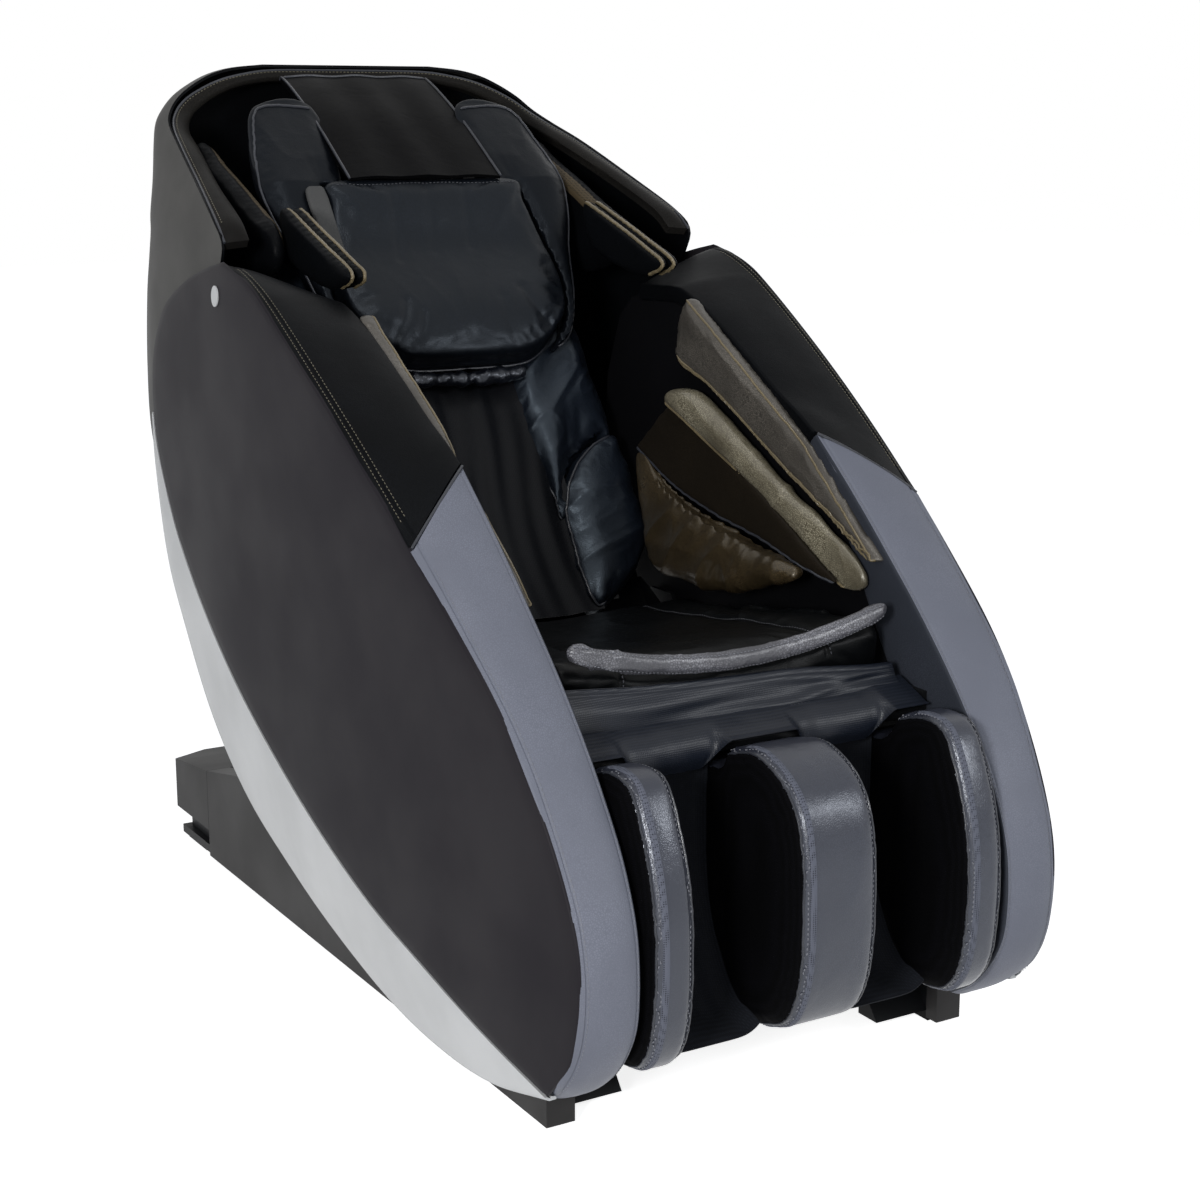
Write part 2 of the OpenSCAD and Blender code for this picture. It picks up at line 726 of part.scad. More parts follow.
module head_pillow() {
  color("#20242c") over_back(2, 2 + pillow_t,
    concat(pillow_edge, [for (p = reverse(pillow_edge)) [-p[0], p[1]]]));
}

// ---------------------------------------------------------------- leg rest

module leg_frame() {
  color("#34363a") {
    bar_x(-252 + gap, 252 - gap, leg_pin, 10);
    both() {
      bar_x(250, 260, leg_pin, 8);
      box([138, -525, 396], [162, -446, 406]);
      box([138, -525, 396], [162, -504, 418]);
      box([138, -470, 125], [162, -446, 400]);
    }
    clevis(-90, leg_head, [[-523, 410], [-508, 424], [-468, 388], [-468, 366], [-489, 366],
      [-489, 394], [-516, 398]]);
  }
}

module leg_tray() {
  color("#26272b") {
    difference() {
      slab(-186, 186, [[-486, 395], [-476, 395], [-476, 150], [-520, 96], [-572, 76], [-576, 80],
        [-530, 104], [-486, 155]]);
      rod_notch();
    }
    both() difference() {
      box([133, -476, 205], [167, -441, 320]);
      box([137.6, -470.4, 200], [162.4, -445.6, 330]);
    }
    both() difference() {
      for (x = [58, 182]) slab(x, x + 4, [[-484, 160], [-504, 160], [-537, 125], [-524, 100],
        [-484, 145]]);
      bar_x(57, 187, [-519.5, 131], 3 + fit);
    }
  }
}

centre_fin_edge = [[-540, 420], [-600, 434], [-654, 418], [-692, 382], [-708, 330], [-712, 270],
  [-711, 215], [-702, 160], [-676, 114], [-625, 92]];
side_fin_edge = [[-550, 428], [-600, 442], [-645, 434], [-673, 390], [-698, 318], [-706, 240],
  [-697, 150], [-668, 102], [-625, 88]];
// Rear of every fin, from its low end up, in front of the tray and the foot rollers
fin_back = [[-580, 90], [-545, 128], [-528, 160], [-500, 178], [-487, 200], [-487, 392], [-530, 396]];

module fin(x0, x1, edge) {
  color("#3d4049") slab(x0, x1, concat(curve(edge), fin_back));
}

module leg_fin_left() {
  fin(side_fin_x - side_fin_w, side_fin_x, side_fin_edge);
}

module leg_fin_centre() {
  fin(-centre_fin_w / 2, centre_fin_w / 2, centre_fin_edge);
}

module leg_fin_right() {
  fin(-side_fin_x, side_fin_w - side_fin_x, side_fin_edge);
}

lining_front = [[-497, 392], [-497, 300], [-505, 230], [-527, 168], [-566, 114], [-625, 92]];
lining_back = [[-618, 84], [-558, 105], [-519, 162], [-498, 228], [-492.5, 300], [-492.5, 392]];

// Cloth lining of the two calf channels, between the fins, notched for the lift rod
module leg_lining() {
  color("#15171c") difference() {
    both() slab(centre_fin_w / 2 + 1, side_fin_x - side_fin_w - 1,
      concat(curve(lining_front), curve(lining_back)));
    rod_notch();
  }
}

// Slot in the tray and the lining that the lift rod's clevis stands in
module rod_notch() {
  box([-112, -510, 340], [-68, -470, 400]);
}

// Foot rollers behind the lining, one shaft with ribs in each channel
module foot_rollers() {
  color("#b0a89c") {
    bar_x(-189, 189, [-519.5, 131], 3);
    both() for (x = [66:16:162]) bar_x(x, x + 9, [-519.5, 131], 9);
  }
}

// ---------------------------------------------------------------- nodes

base_frame();
base_side_cover();  // base_side_cover_left
right() base_side_cover();  // base_side_cover_right
base_rear_cover();
base_feet();
slide_rails();
control_box();
air_pump();
mains_inlet();
power_switch();
transport_wheels();
slide_motor();
slide_screw();
carriage_frame();
carriage_rollers_front();
carriage_rollers_rear();
tilt_actuator();
tilt_rod();
seat_frame();
seat_cushion();
seat_front_roll();
front_apron();
side_panel();  // side_panel_left
right() side_panel();  // side_panel_right
lower_rim();  // lower_rim_left
right() lower_rim();  // lower_rim_right
arm_cap();  // arm_cap_left
right() arm_cap();  // arm_cap_right
silver_trim();  // silver_trim_left
right() silver_trim();  // silver_trim_right
inner_wall();  // inner_wall_left
right() inner_wall();  // inner_wall_right
side_badges();
arm_upper_pad();  // arm_upper_pad_left
right() arm_upper_pad();  // arm_upper_pad_right
arm_lower_pad();  // arm_lower_pad_left
right() arm_lower_pad();  // arm_lower_pad_right
recline_actuator();
recline_rod();
leg_actuator();
leg_rod();
back_hood();
hood_rim();
back_frame();
back_cushion();
head_pad();
head_cover();
wing_pads();
shoulder_pads();
travel_screw();
massage_carriage();
kneading_rollers();
head_pillow();
leg_frame();
leg_tray();
leg_fin_left();
leg_fin_centre();
leg_fin_right();
leg_lining();
foot_rollers();
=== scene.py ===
import math

import bmesh
import bpy
import numpy as np
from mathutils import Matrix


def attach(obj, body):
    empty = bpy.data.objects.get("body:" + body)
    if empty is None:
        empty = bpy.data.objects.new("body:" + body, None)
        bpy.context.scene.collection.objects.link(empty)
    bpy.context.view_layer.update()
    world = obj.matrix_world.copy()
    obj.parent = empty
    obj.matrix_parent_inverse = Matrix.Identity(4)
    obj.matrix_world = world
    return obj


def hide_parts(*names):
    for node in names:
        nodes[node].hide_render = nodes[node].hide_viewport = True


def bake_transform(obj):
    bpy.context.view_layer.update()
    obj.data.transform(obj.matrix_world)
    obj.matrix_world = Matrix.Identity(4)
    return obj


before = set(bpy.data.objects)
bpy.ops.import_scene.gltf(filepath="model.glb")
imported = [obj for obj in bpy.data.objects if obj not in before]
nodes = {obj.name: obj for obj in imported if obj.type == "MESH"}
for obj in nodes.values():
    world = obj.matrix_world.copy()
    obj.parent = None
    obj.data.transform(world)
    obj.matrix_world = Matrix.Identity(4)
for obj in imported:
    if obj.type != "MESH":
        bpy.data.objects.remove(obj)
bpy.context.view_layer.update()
MM = 0.001
scene = bpy.context.scene

# ---------------------------------------------------------------- camera

eye = bpy.data.cameras.new("camera")
camera = bpy.data.objects.new("camera", eye)
scene.collection.objects.link(camera)
eye.lens = 64.11
eye.sensor_width = 36
eye.dof.use_dof = False
camera.location = (-1.4095, -2.5388, 1.1440)
camera.rotation_euler = (math.radians(77.197), 0, math.radians(-30.729))
scene.camera = camera
scene.view_settings.view_transform = "Standard"


# ---------------------------------------------------------------- arrays

def rows(*points):
    return np.array(points, float)


def resample(p, count, closed=False):
    """Points at equal steps of a polyline's length."""
    q = np.vstack([p, p[:1]]) if closed else p
    run = np.concatenate([[0], np.cumsum(np.linalg.norm(np.diff(q, axis=0), axis=1))])
    at = np.linspace(0, run[-1], count + 1)[:-1] if closed else np.linspace(0, run[-1], count)
    return np.stack([np.interp(at, run, q[:, k]) for k in range(q.shape[1])], 1)


def spline(points, count, closed=False):
    """Catmull-Rom curve through the points, cut into equal steps: on each span the cubic whose
    end slopes are half the step between the neighbours, worked out at 12 places."""
    p = np.asarray(points, float)
    if closed:
        q = np.vstack([p[-1:], p, p[:2]])
    else:
        q = np.vstack([2 * p[:1] - p[1:2], p, 2 * p[-1:] - p[-2:-1]])
    a, b, c, d = (q[i:len(q) - 3 + i, None] for i in range(4))
    t = (np.arange(12) / 12)[None, :, None]
    curve = 0.5 * (2 * b + (c - a) * t + (2 * a - 5 * b + 4 * c - d) * t ** 2
                   + (3 * b - a - 3 * c + d) * t ** 3)
    curve = curve.reshape(-1, p.shape[1])
    return resample(curve if closed else np.vstack([curve, p[-1:]]), count, closed)


def unit(v):
    return v / np.maximum(np.linalg.norm(v, axis=-1, keepdims=True), 1e-12)


def slope(p, closed=False):
    """Unit tangents of a row of points by central differences."""
    if closed:
        return unit(np.roll(p, -1, 0) - np.roll(p, 1, 0))
    return unit(np.gradient(p, axis=0))


def ease(x):
    """Smooth step from 0 at 0 to 1 at 1."""
    x = np.clip(x, 0, 1)
    return x * x * (3 - 2 * x)


def hashed(cell):
    """Repeatable number from 0 to 1 for each whole-number cell, the fraction of a large sine."""
    v = np.sin(cell @ rows(127.1, 311.7, 74.7)) * 43758.5453
    return v - np.floor(v)


def noise(p, size):
    """Value noise from -1 to 1: hashed corners of cubes of that size, blended by smooth steps."""
    q = p / size
    cell = np.floor(q)
    f = q - cell
    f = f * f * (3 - 2 * f)
    total = np.zeros(p.shape[:-1])
    for i in range(8):
        corner = rows(i & 1, i >> 1 & 1, i >> 2 & 1)
        share = np.prod(np.where(corner > 0, f, 1 - f), axis=-1)
        total += share * hashed(cell + corner)
    return total * 2 - 1


# ---------------------------------------------------------------- meshes

def finish_mesh(obj, angle):
    """Merges doubled points, turns every face outwards and shades smoothly below an angle."""
    b = bmesh.new()
    b.from_mesh(obj.data)
    bmesh.ops.remove_doubles(b, verts=b.verts, dist=2e-6)
    bmesh.ops.dissolve_degenerate(b, edges=b.edges, dist=1e-6)
    bmesh.ops.recalc_face_normals(b, faces=b.faces)
    b.to_mesh(obj.data)
    b.free()
    shade(obj, angle)
    return obj


def shade(obj, angle):
    obj.data.polygons.foreach_set("use_smooth", [True] * len(obj.data.polygons))
    obj.data.set_sharp_from_angle(angle=math.radians(angle))


def new_object(name, points, faces):
    mesh = bpy.data.meshes.new(name)
    mesh.from_pydata(np.asarray(points).reshape(-1, 3) * MM, [], faces)
    obj = bpy.data.objects.new(name, mesh)
    scene.collection.objects.link(obj)
    return obj


def quads(n, m, around=False):
    """Faces of an n by m grid of points, whose rows of m may close round."""
    i, j = np.meshgrid(np.arange(n - 1), np.arange(m if around else m - 1), indexing="ij")
    a, b = i * m + j, i * m + (j + 1) % m
    return np.stack([a, b, b + m, a + m], -1).reshape(-1, 4)


def loft(name, rings, angle=38):
    """Skin over a row of closed rings, rings[n, m, 3] in mm, with flat caps at both ends."""
    n, m = rings.shape[:2]
    faces = quads(n, m, True).tolist()
    faces += [list(range(m))[::-1], list(range((n - 1) * m, n * m))]
    return finish_mesh(new_object(name, rings, faces), angle)


def shell(name, face, back, angle=70):
    """Closed thin form between a grid of points and the same grid behind it."""
    return loft(name, np.concatenate([face, back[:, ::-1]], 1), angle)


def tube(name, path, radius, up):
    """Round tube: eight-sided rings across the path's tangent, starting beside it, square to
    up. The radius is one number, or one for each point."""
    r = np.broadcast_to(np.asarray(radius, float), len(path))[:, None, None]
    t = slope(path)
    side = unit(np.cross(t, np.asarray(up, float)))
    high = np.cross(side, t)
    a = (np.arange(8) * 2 * np.pi / 8)[None, :, None]
    return loft(name, path[:, None] + r * (np.cos(a) * side[:, None] + np.sin(a) * high[:, None]))


def stitches(name, path, face, pitch=5.5, length=3.4, width=0.75):
    """Row of thread stitches along a path: one six-sided bead to each pitch, flattened on the
    face whose unit normals are given."""
    steps = np.linalg.norm(np.diff(path, axis=0), axis=1)
    total = steps.sum()
    count = max(2, int(total / pitch))
    laid = resample(np.hstack([path, face]), count)
    p, n = laid[:, :3], unit(laid[:, 3:])
    t = slope(p)
    s = unit(np.cross(t, n))
    along = np.array([-0.5, -0.3, 0.3, 0.5]) * length
    thick = np.array([0.25, 1, 1, 0.25]) * width
    a = np.arange(6) * np.pi / 3
    ring = (p[:, None, None] + along[None, :, None, None] * t[:, None, None]
            + (thick[:, None] * np.cos(a))[None, :, :, None] * s[:, None, None]
            + (thick[:, None] * np.sin(a) * 0.7)[None, :, :, None] * n[:, None, None])
    base = quads(4, 6, True)
    faces = (base[None] + np.arange(count)[:, None, None] * 24).reshape(-1, 4).tolist()
    for k in range(count):
        faces += [[k * 24 + j for j in range(5, -1, -1)], [k * 24 + 18 + j for j in range(6)]]
    obj = new_object(name, ring, faces)
    shade(obj, 60)
    return obj


def mirrored(obj, name):
    """The same piece on the chair's other side: x negated and every face turned over."""
    copy = bpy.data.objects.new(name, obj.data.copy())
    scene.collection.objects.link(copy)
    b = bmesh.new()
    b.from_mesh(copy.data)
    for v in b.verts:
        v.co.x = -v.co.x
    bmesh.ops.reverse_faces(b, faces=b.faces)
    b.to_mesh(copy.data)
    b.free()
    return copy


def points_of(obj):
    co = np.empty(len(obj.data.vertices) * 3)
    obj.data.vertices.foreach_get("co", co)
    return co.reshape(-1, 3) / MM


def normals_of(obj):
    n = np.empty(len(obj.data.vertices) * 3)
    obj.data.vertex_normals.foreach_get("vector", n)
    return n.reshape(-1, 3)


def move_points(obj, points):
    obj.data.vertices.foreach_set("co", (np.asarray(points) * MM).ravel())
    obj.data.update()


def settled(obj):
    """Applies the piece's modifiers: its evaluated mesh becomes its own."""
    bpy.context.view_layer.update()
    evaluated = obj.evaluated_get(bpy.context.evaluated_depsgraph_get())
    done = bpy.data.meshes.new_from_object(evaluated)
    obj.modifiers.clear()
    obj.data = done
    return obj


def smoothed(obj):
    """Subdivides the piece's mesh once and applies it."""
    m = obj.modifiers.new("smooth", "SUBSURF")
    m.levels = m.render_levels = 1
    return settled(obj)


# ---------------------------------------------------------------- padding

def shrunk(outline, by):
    """Closed outline moved inwards by a distance along its own normals."""
    t = slope(outline, True)
    area = 0.5 * np.sum(outline[:, 0] * np.roll(outline[:, 1], -1)
                        - np.roll(outline[:, 0], -1) * outline[:, 1])
    inward = np.stack([-t[:, 1], t[:, 0]], 1) * np.sign(area)
    return outline + inward * by


def pad_form(name, outline, low, high, rounding, place, count):
    """Closed pad: the outline carried from low to high along the third axis, with quarter-round
    edges. place turns local (a, b, c) into chair coordinates."""
    edge = spline(outline, count, True)
    r = min(rounding, (high - low) / 2 - 0.01)
    a = np.linspace(0, np.pi / 2, 6)
    steps = [(low + r - r * np.sin(t), r - r * np.cos(t)) for t in a[::-1]]
    steps += [(high - r + r * np.sin(t), r - r * np.cos(t)) for t in a]
    rings = np.stack([np.column_stack([shrunk(edge, inset), np.full(count, level)])
                      for level, inset in steps])
    return loft(name, place(rings), angle=70)


def across(rings):
    """Local (y, z, x) to chair (x, y, z)."""
    return rings[..., [2, 0, 1]]


# The back leans from upright by this angle, about its foot
LEAN = math.radians(33.7)
BACK_FOOT = rows(0, 10, 455)


def on_back(points):
    """Back coordinates (x, out of the back towards the rear, up along it) to the chair's."""
    x, y, z = points[..., 0], points[..., 1], points[..., 2]
    s, c = math.sin(LEAN), math.cos(LEAN)
    return np.stack([x, BACK_FOOT[1] + y * c + z * s, BACK_FOOT[2] - y * s + z * c], -1)


def back_pad(rings):
    """Local (x, up the back, forwards from its face) to the chair's."""
    return on_back(np.stack([rings[..., 0], -rings[..., 2], rings[..., 1]], -1))


def remeshed(obj, voxel):
    m = obj.modifiers.new("voxels", "REMESH")
    m.mode = "VOXEL"
    m.voxel_size = voxel * MM
    return settled(obj)


def inflate(obj, voxel, pressure, cap, frames, pin=None):
    """Blows a closed form up as cloth and smooths it: remesh, Cloth with inner pressure and no
    gravity, then no point further from its start than cap, by the distance's hyperbolic
    tangent. pin(points) gives how firmly each point is sewn down, from 0 to 1."""
    remeshed(obj, voxel)
    start = points_of(obj)
    m = obj.modifiers.new("cloth", "CLOTH")
    s = m.settings
    s.quality = 5
    s.mass = 0.3
    s.tension_stiffness = s.compression_stiffness = s.shear_stiffness = 15
    s.bending_stiffness = 0.3
    s.use_pressure = True
    s.uniform_pressure_force = pressure
    s.effector_weights.gravity = 0
    if pin is not None:
        group = obj.vertex_groups.new(name="sewn")
        weight = np.round(np.clip(pin(start), 0, 1) * 10) / 10
        for level in np.unique(weight):
            if level > 0:
                at = np.nonzero(weight == level)[0]
                group.add(at.tolist(), float(level), "REPLACE")
        s.vertex_group_mass = "sewn"
    m.point_cache.frame_start = 1
    m.point_cache.frame_end = frames
    for f in range(1, frames + 1):
        scene.frame_set(f)
    settled(obj)
    scene.frame_set(1)
    moved = points_of(obj) - start
    far = np.linalg.norm(moved, axis=1, keepdims=True)
    move_points(obj, start + moved * np.tanh(far / cap) * cap / np.maximum(far, 1e-6))
    return smoothed(obj)


# ---------------------------------------------------------------- finishes

def linear(text):
    """sRGB hex to linear red, green, blue and full alpha."""
    v = np.array([int(text[i:i + 2], 16) for i in (1, 3, 5)]) / 255
    v = np.where(v <= 0.04045, v / 12.92, ((v + 0.055) / 1.055) ** 2.4)
    return (*v, 1)


def feed(tree, node, inputs):
    """Gives a node its inputs: each is a value or the socket it comes from."""
    for key, value in inputs.items():
        if isinstance(value, bpy.types.NodeSocket):
            tree.links.new(value, node.inputs[key])
        else:
            node.inputs[key].default_value = value
    return node


def add(tree, kind, inputs=None, **settings):
    """Adds a shader node with its settings and inputs."""
    node = tree.nodes.new("ShaderNode" + kind)
    for key, value in settings.items():
        setattr(node, key, value)
    return feed(tree, node, inputs or {})


def finish(name, **values):
    """New material with its Principled shader's own values set; returns it, its tree, the shader
    and the object coordinates."""
    mat = bpy.data.materials.new(name)
    mat.use_nodes = True
    tree = mat.node_tree
    shader = tree.nodes["Principled BSDF"]
    for key, value in values.items():
        shader.inputs[key.replace("_", " ")].default_value = value
    return mat, tree, shader, add(tree, "TexCoord").outputs["Object"]


def per_metre(mm):
    """Texture scale that makes one feature that many millimetres wide."""
    return 1000 / mm


def ramp(tree, value, low, high, out_low=0.0, out_high=1.0):
    return add(tree, "MapRange", {"Value": value, "From Min": low, "From Max": high,
                                  "To Min": out_low, "To Max": out_high},
               interpolation_type="SMOOTHSTEP").outputs["Result"]


def bump(tree, height, depth_mm, strength, under=None):
    inputs = {"Height": height, "Distance": depth_mm * MM, "Strength": strength}
    if under is not None:
        inputs["Normal"] = under
    return add(tree, "Bump", inputs).outputs["Normal"]


def between(tree, share, a, b):
    return add(tree, "Mix", {"Factor": share, "A": a, "B": b}, data_type="RGBA").outputs["Result"]


def leather(name, dark, light, roughness, crease, level, grain=2.6, tint=(1, 1, 1)):
    """Polyurethane-coated leather: embossed pebble grain, soft creases, and a slight change of
    shade where the coating is polished by use. The real grain is about 1 mm wide; it is drawn
    at 2 to 3 mm so that it shows."""
    mat, tree, shader, at = finish(name, Specular_IOR_Level=level, IOR=1.5,
                                   Specular_Tint=(*tint, 1))
    warp = add(tree, "TexNoise", {"Vector": at, "Scale": per_metre(14), "Detail": 2.0})
    drift = add(tree, "VectorMath", {0: at, 1: add(
        tree, "VectorMath", {0: warp.outputs["Color"], "Scale": 0.0025},
        operation="SCALE").outputs[0]}, operation="ADD").outputs[0]
    cells = add(tree, "TexVoronoi", {"Vector": drift, "Scale": per_metre(grain)},
                feature="DISTANCE_TO_EDGE")
    pebble = ramp(tree, cells.outputs["Distance"], 0.0, 0.28)
    folds = add(tree, "TexNoise", {"Vector": at, "Scale": per_metre(38), "Detail": 3.0,
                                   "Roughness": 0.55, "Distortion": 0.6})
    fold = ramp(tree, folds.outputs["Fac"], 0.32, 0.68)
    patches = add(tree, "TexNoise", {"Vector": at, "Scale": per_metre(120), "Detail": 3.0})
    patch = ramp(tree, patches.outputs["Fac"], 0.3, 0.7)
    polish = add(tree, "Math", {0: patch, 1: pebble}, operation="MULTIPLY").outputs[0]
    feed(tree, shader, {
        "Base Color": between(tree, polish, linear(dark), linear(light)),
        "Roughness": ramp(tree, patches.outputs["Fac"], 0.25, 0.75, roughness + 0.06,
                          roughness - 0.05),
        "Normal": bump(tree, fold, 0.9 * crease, 0.5, bump(tree, pebble, 0.12, 0.55))})
    return mat


def plastic(name, dark, light, roughness, grain, depth=0.05, level=0.5):
    """Moulded or painted plastic: spark-eroded or orange-peel texture from the mould or spray,
    with faint cloudy change of gloss. Fine texture is drawn at 2 to 4 mm so that it shows."""
    mat, tree, shader, at = finish(name, Specular_IOR_Level=level, IOR=1.46)
    texture = add(tree, "TexNoise", {"Vector": at, "Scale": per_metre(grain), "Detail": 3.0,
                                     "Roughness": 0.6})
    clouds = add(tree, "TexNoise", {"Vector": at, "Scale": per_metre(160), "Detail": 4.0})
    feed(tree, shader, {
        "Base Color": between(tree, ramp(tree, clouds.outputs["Fac"], 0.3, 0.7), linear(dark),
                              linear(light)),
        "Roughness": ramp(tree, clouds.outputs["Fac"], 0.25, 0.75, roughness + 0.04,
                          roughness - 0.04),
        "Normal": bump(tree, texture.outputs["Fac"], depth, 0.5)})
    return mat


def metal(name, tone, roughness, along=0):
    """Rolled, turned or plated metal: fine lines 0.8 mm apart, drawn out along an axis, and
    cloudy wear."""
    mat, tree, shader, at = finish(name, Metallic=1.0)
    stretch = [1.0, 1.0, 1.0]
    stretch[along] = 0.04
    drawn = add(tree, "Mapping", {"Vector": at, "Scale": stretch}).outputs["Vector"]
    streak = add(tree, "TexNoise", {"Vector": drawn, "Scale": per_metre(0.8), "Detail": 2.0})
    wear = add(tree, "TexNoise", {"Vector": at, "Scale": per_metre(30), "Detail": 4.0})
    dim = tuple(c * 0.72 for c in linear(tone)[:3]) + (1,)
    feed(tree, shader, {
        "Base Color": between(tree, ramp(tree, wear.outputs["Fac"], 0.35, 0.65), dim,
                              linear(tone)),
        "Roughness": ramp(tree, streak.outputs["Fac"], 0.3, 0.7, roughness - 0.06,
                          roughness + 0.1),
        "Normal": bump(tree, streak.outputs["Fac"], 0.03, 0.4)})
    return mat


def cloth(name, dark, light, thread=2.4, roughness=0.75, sheen=0.3, level=0.12):
    """Plain-woven or knitted cloth: two crossed waves a thread apart, drawn at 2.4 mm because
    the real 0.4 mm thread wouldn't show, with sheen from its loose fibres."""
    mat, tree, shader, at = finish(name, Specular_IOR_Level=level, Sheen_Weight=sheen,
                                   Sheen_Roughness=0.4)
    waves = [add(tree, "TexWave", {"Vector": at, "Scale": per_metre(thread) / math.pi,
                                   "Distortion": 0.6, "Detail": 1.0},
                 wave_type="BANDS", bands_direction=axis).outputs["Fac"] for axis in ("X", "Z")]
    weave = add(tree, "Math", {0: waves[0], 1: waves[1]}, operation="MULTIPLY").outputs[0]
    feed(tree, shader, {"Base Color": between(tree, weave, linear(dark), linear(light)),
                        "Roughness": roughness, "Normal": bump(tree, weave, 0.25, 0.6)})
    return mat


def mesh_cloth(name, dark, light, hole=3.4):
    """Perforated leather or spacer mesh: round pits in offset rows, a pit to each cell of a
    regular Voronoi pattern."""
    mat, tree, shader, at = finish(name, Specular_IOR_Level=0.15)
    pits = add(tree, "TexVoronoi", {"Vector": at, "Scale": per_metre(hole), "Randomness": 0.0},
               feature="F1")
    pit = ramp(tree, pits.outputs["Distance"], 0.22, 0.42)
    feed(tree, shader, {"Base Color": between(tree, pit, linear(dark), linear(light)),
                        "Roughness": 0.55, "Normal": bump(tree, pit, 0.5, 0.8)})
    return mat


# Spray-painted ABS shells: satin, nearly even, with a trace of orange peel
PAINT_CHARCOAL = plastic("satin_charcoal_paint", "#211f23", "#282629", 0.46, grain=3.0,
                         depth=0.02, level=0.05)
PAINT_HOOD = plastic("satin_grey_paint", "#3d3c3b", "#474644", 0.48, grain=3.0, depth=0.02,
                     level=0.08)
PAINT_SILVER = plastic("silver_paint", "#b4b5b6", "#bebfc0", 0.36, grain=3.0, depth=0.015)
# Moulded ABS of the base and inner walls: dull, with an eroded texture
ABS_BASE = plastic("moulded_abs_grey", "#2c2b2b", "#363535", 0.55, grain=2.0, depth=0.1,
                   level=0.15)
ABS_BLACK = plastic("moulded_abs_black", "#08080a", "#0c0c0e", 0.6, grain=2.0, depth=0.1,
                    level=0.06)
# Synthetic leathers, each from its own roll
LEATHER_RIM = leather("bluish_grey_leather", "#666974", "#727581", 0.50, crease=0.3, level=0.2)
LEATHER_SLATE = leather("dark_slate_leather", "#2e3138", "#373a42", 0.48, crease=0.3, level=0.1)
LEATHER_CAP = leather("near_black_leather", "#08090b", "#0e1013", 0.40, crease=0.3, level=0.035)
LEATHER_BACK = leather("blue_black_leather", "#10141b", "#1e242e", 0.34, crease=0.6, level=0.5,
                       tint=(0.72, 0.86, 1))
LEATHER_LOBE = leather("lobe_black_leather", "#080a0e", "#0f1217", 0.33, crease=0.5,
                       level=0.12, tint=(0.78, 0.88, 1))
LEATHER_PILLOW = leather("pillow_black_leather", "#080a0e", "#10141a", 0.34, crease=0.5,
                         level=0.22, tint=(0.78, 0.88, 1))
LEATHER_BAND = leather("rucked_black_leather", "#101218", "#1a1d24", 0.26, crease=0.6, level=0.5,
                       tint=(0.85, 0.9, 1))
LEATHER_COVER = leather("cover_black_leather", "#060607", "#0a0a0b", 0.42, crease=0.4, level=0.03)
LEATHER_ARM = leather("warm_grey_leather", "#393632", "#66615a", 0.32, crease=0.8, level=0.5,
                      tint=(1, 0.95, 0.88))
# Dark leather of the arm roll: its light golden-grey colour is a painted warm reflection
LEATHER_PAINTED_GOLD_REFLECTION = leather("dark_leather_painted_gold_reflection", "#524c3e", "#a09984", 0.30, crease=0.9,
                       level=0.8, tint=(1, 0.97, 0.88))
# Dark leather of the arm bolster: its golden-brown colour is a painted warm reflection
LEATHER_PAINTED_TAN_REFLECTION = leather("dark_leather_painted_tan_reflection", "#261f14", "#4f432f", 0.30, crease=0.7,
                      level=0.5, tint=(1, 0.92, 0.78))
LEATHER_BROWN = leather("dark_brown_leather", "#1b1712", "#241f18", 0.46, crease=0.4, level=0.05)
LEATHER_SEAT = leather("seat_black_leather", "#050607", "#0a0b0d", 0.34, crease=0.6, level=0.08)
LEATHER_ROLL = leather("pebbled_grey_leather", "#3c3c41", "#85858c", 0.32, grain=3.2, crease=1.2,
                       level=0.55)
LEATHER_HOOD = leather("hood_rim_leather", "#171615", "#262421", 0.42, crease=0.3, level=0.04)
LEATHER_FIN = leather("slate_leather", "#24262f", "#2f323d", 0.30, crease=0.5, level=0.6,
                      tint=(0.88, 0.92, 1))
SUEDE = leather("grey_suede", "#4a4a4a", "#5a5a59", 0.7, grain=2.0, crease=0.2, level=0.1)
# Knitted lining and coated cloth
CLOTH_LINING = cloth("black_stretch_knit", "#030304", "#07070a", sheen=0.0, level=0.04)
CLOTH_DRAPE = cloth("blue_black_drape", "#08090d", "#101318", roughness=0.5, sheen=0.03)
CLOTH_SLATE = cloth("slate_stretch_knit", "#101217", "#1b1e25", sheen=0.05)
CLOTH_APRON = cloth("coated_black_cloth", "#0f131b", "#1c212c", roughness=0.36, sheen=0.0,
                    level=0.26)
# Perforated strips
MESH_BROWN = mesh_cloth("perforated_brown_leather", "#0c0a07", "#4a4030")
MESH_SLATE = mesh_cloth("perforated_slate_leather", "#2e3038", "#595c67", 2.6)
# Twisted sewing thread
THREAD = cloth("polyester_thread", "#6c6d74", "#8a8b92", thread=1.0, roughness=0.6)
THREAD_DARK = cloth("dark_polyester_thread", "#3a3b40", "#55565c", thread=1.0, roughness=0.6)
THREAD_WARM = cloth("warm_polyester_thread", "#5a5648", "#7c7664", thread=1.0, roughness=0.6)
# Welt: a strip of leather over a cord, pulled tight and shiny
PIPING = leather("piping_leather", "#2c2e34", "#3c3e45", 0.3, grain=2.2, crease=0.2, level=0.35)
# Warm piping: real on the arm's lower edges and the roll; on the shoulder pads and the arm pad's
# top edge its light colour is a painted highlight
PIPING_WARM_AND_PAINTED_HIGHLIGHT = leather("warm_piping_leather_and_painted_highlight", "#665b44", "#83765b", 0.3, grain=2.2, crease=0.2,
                      level=0.4)
# Powder-coated steel: pebbled skin of melted powder over metal, seen as a rough paint
STEEL_BLACK = plastic("black_powder_coat", "#101113", "#101113", 0.5, grain=2.2, depth=0.08,
                      level=0.15)
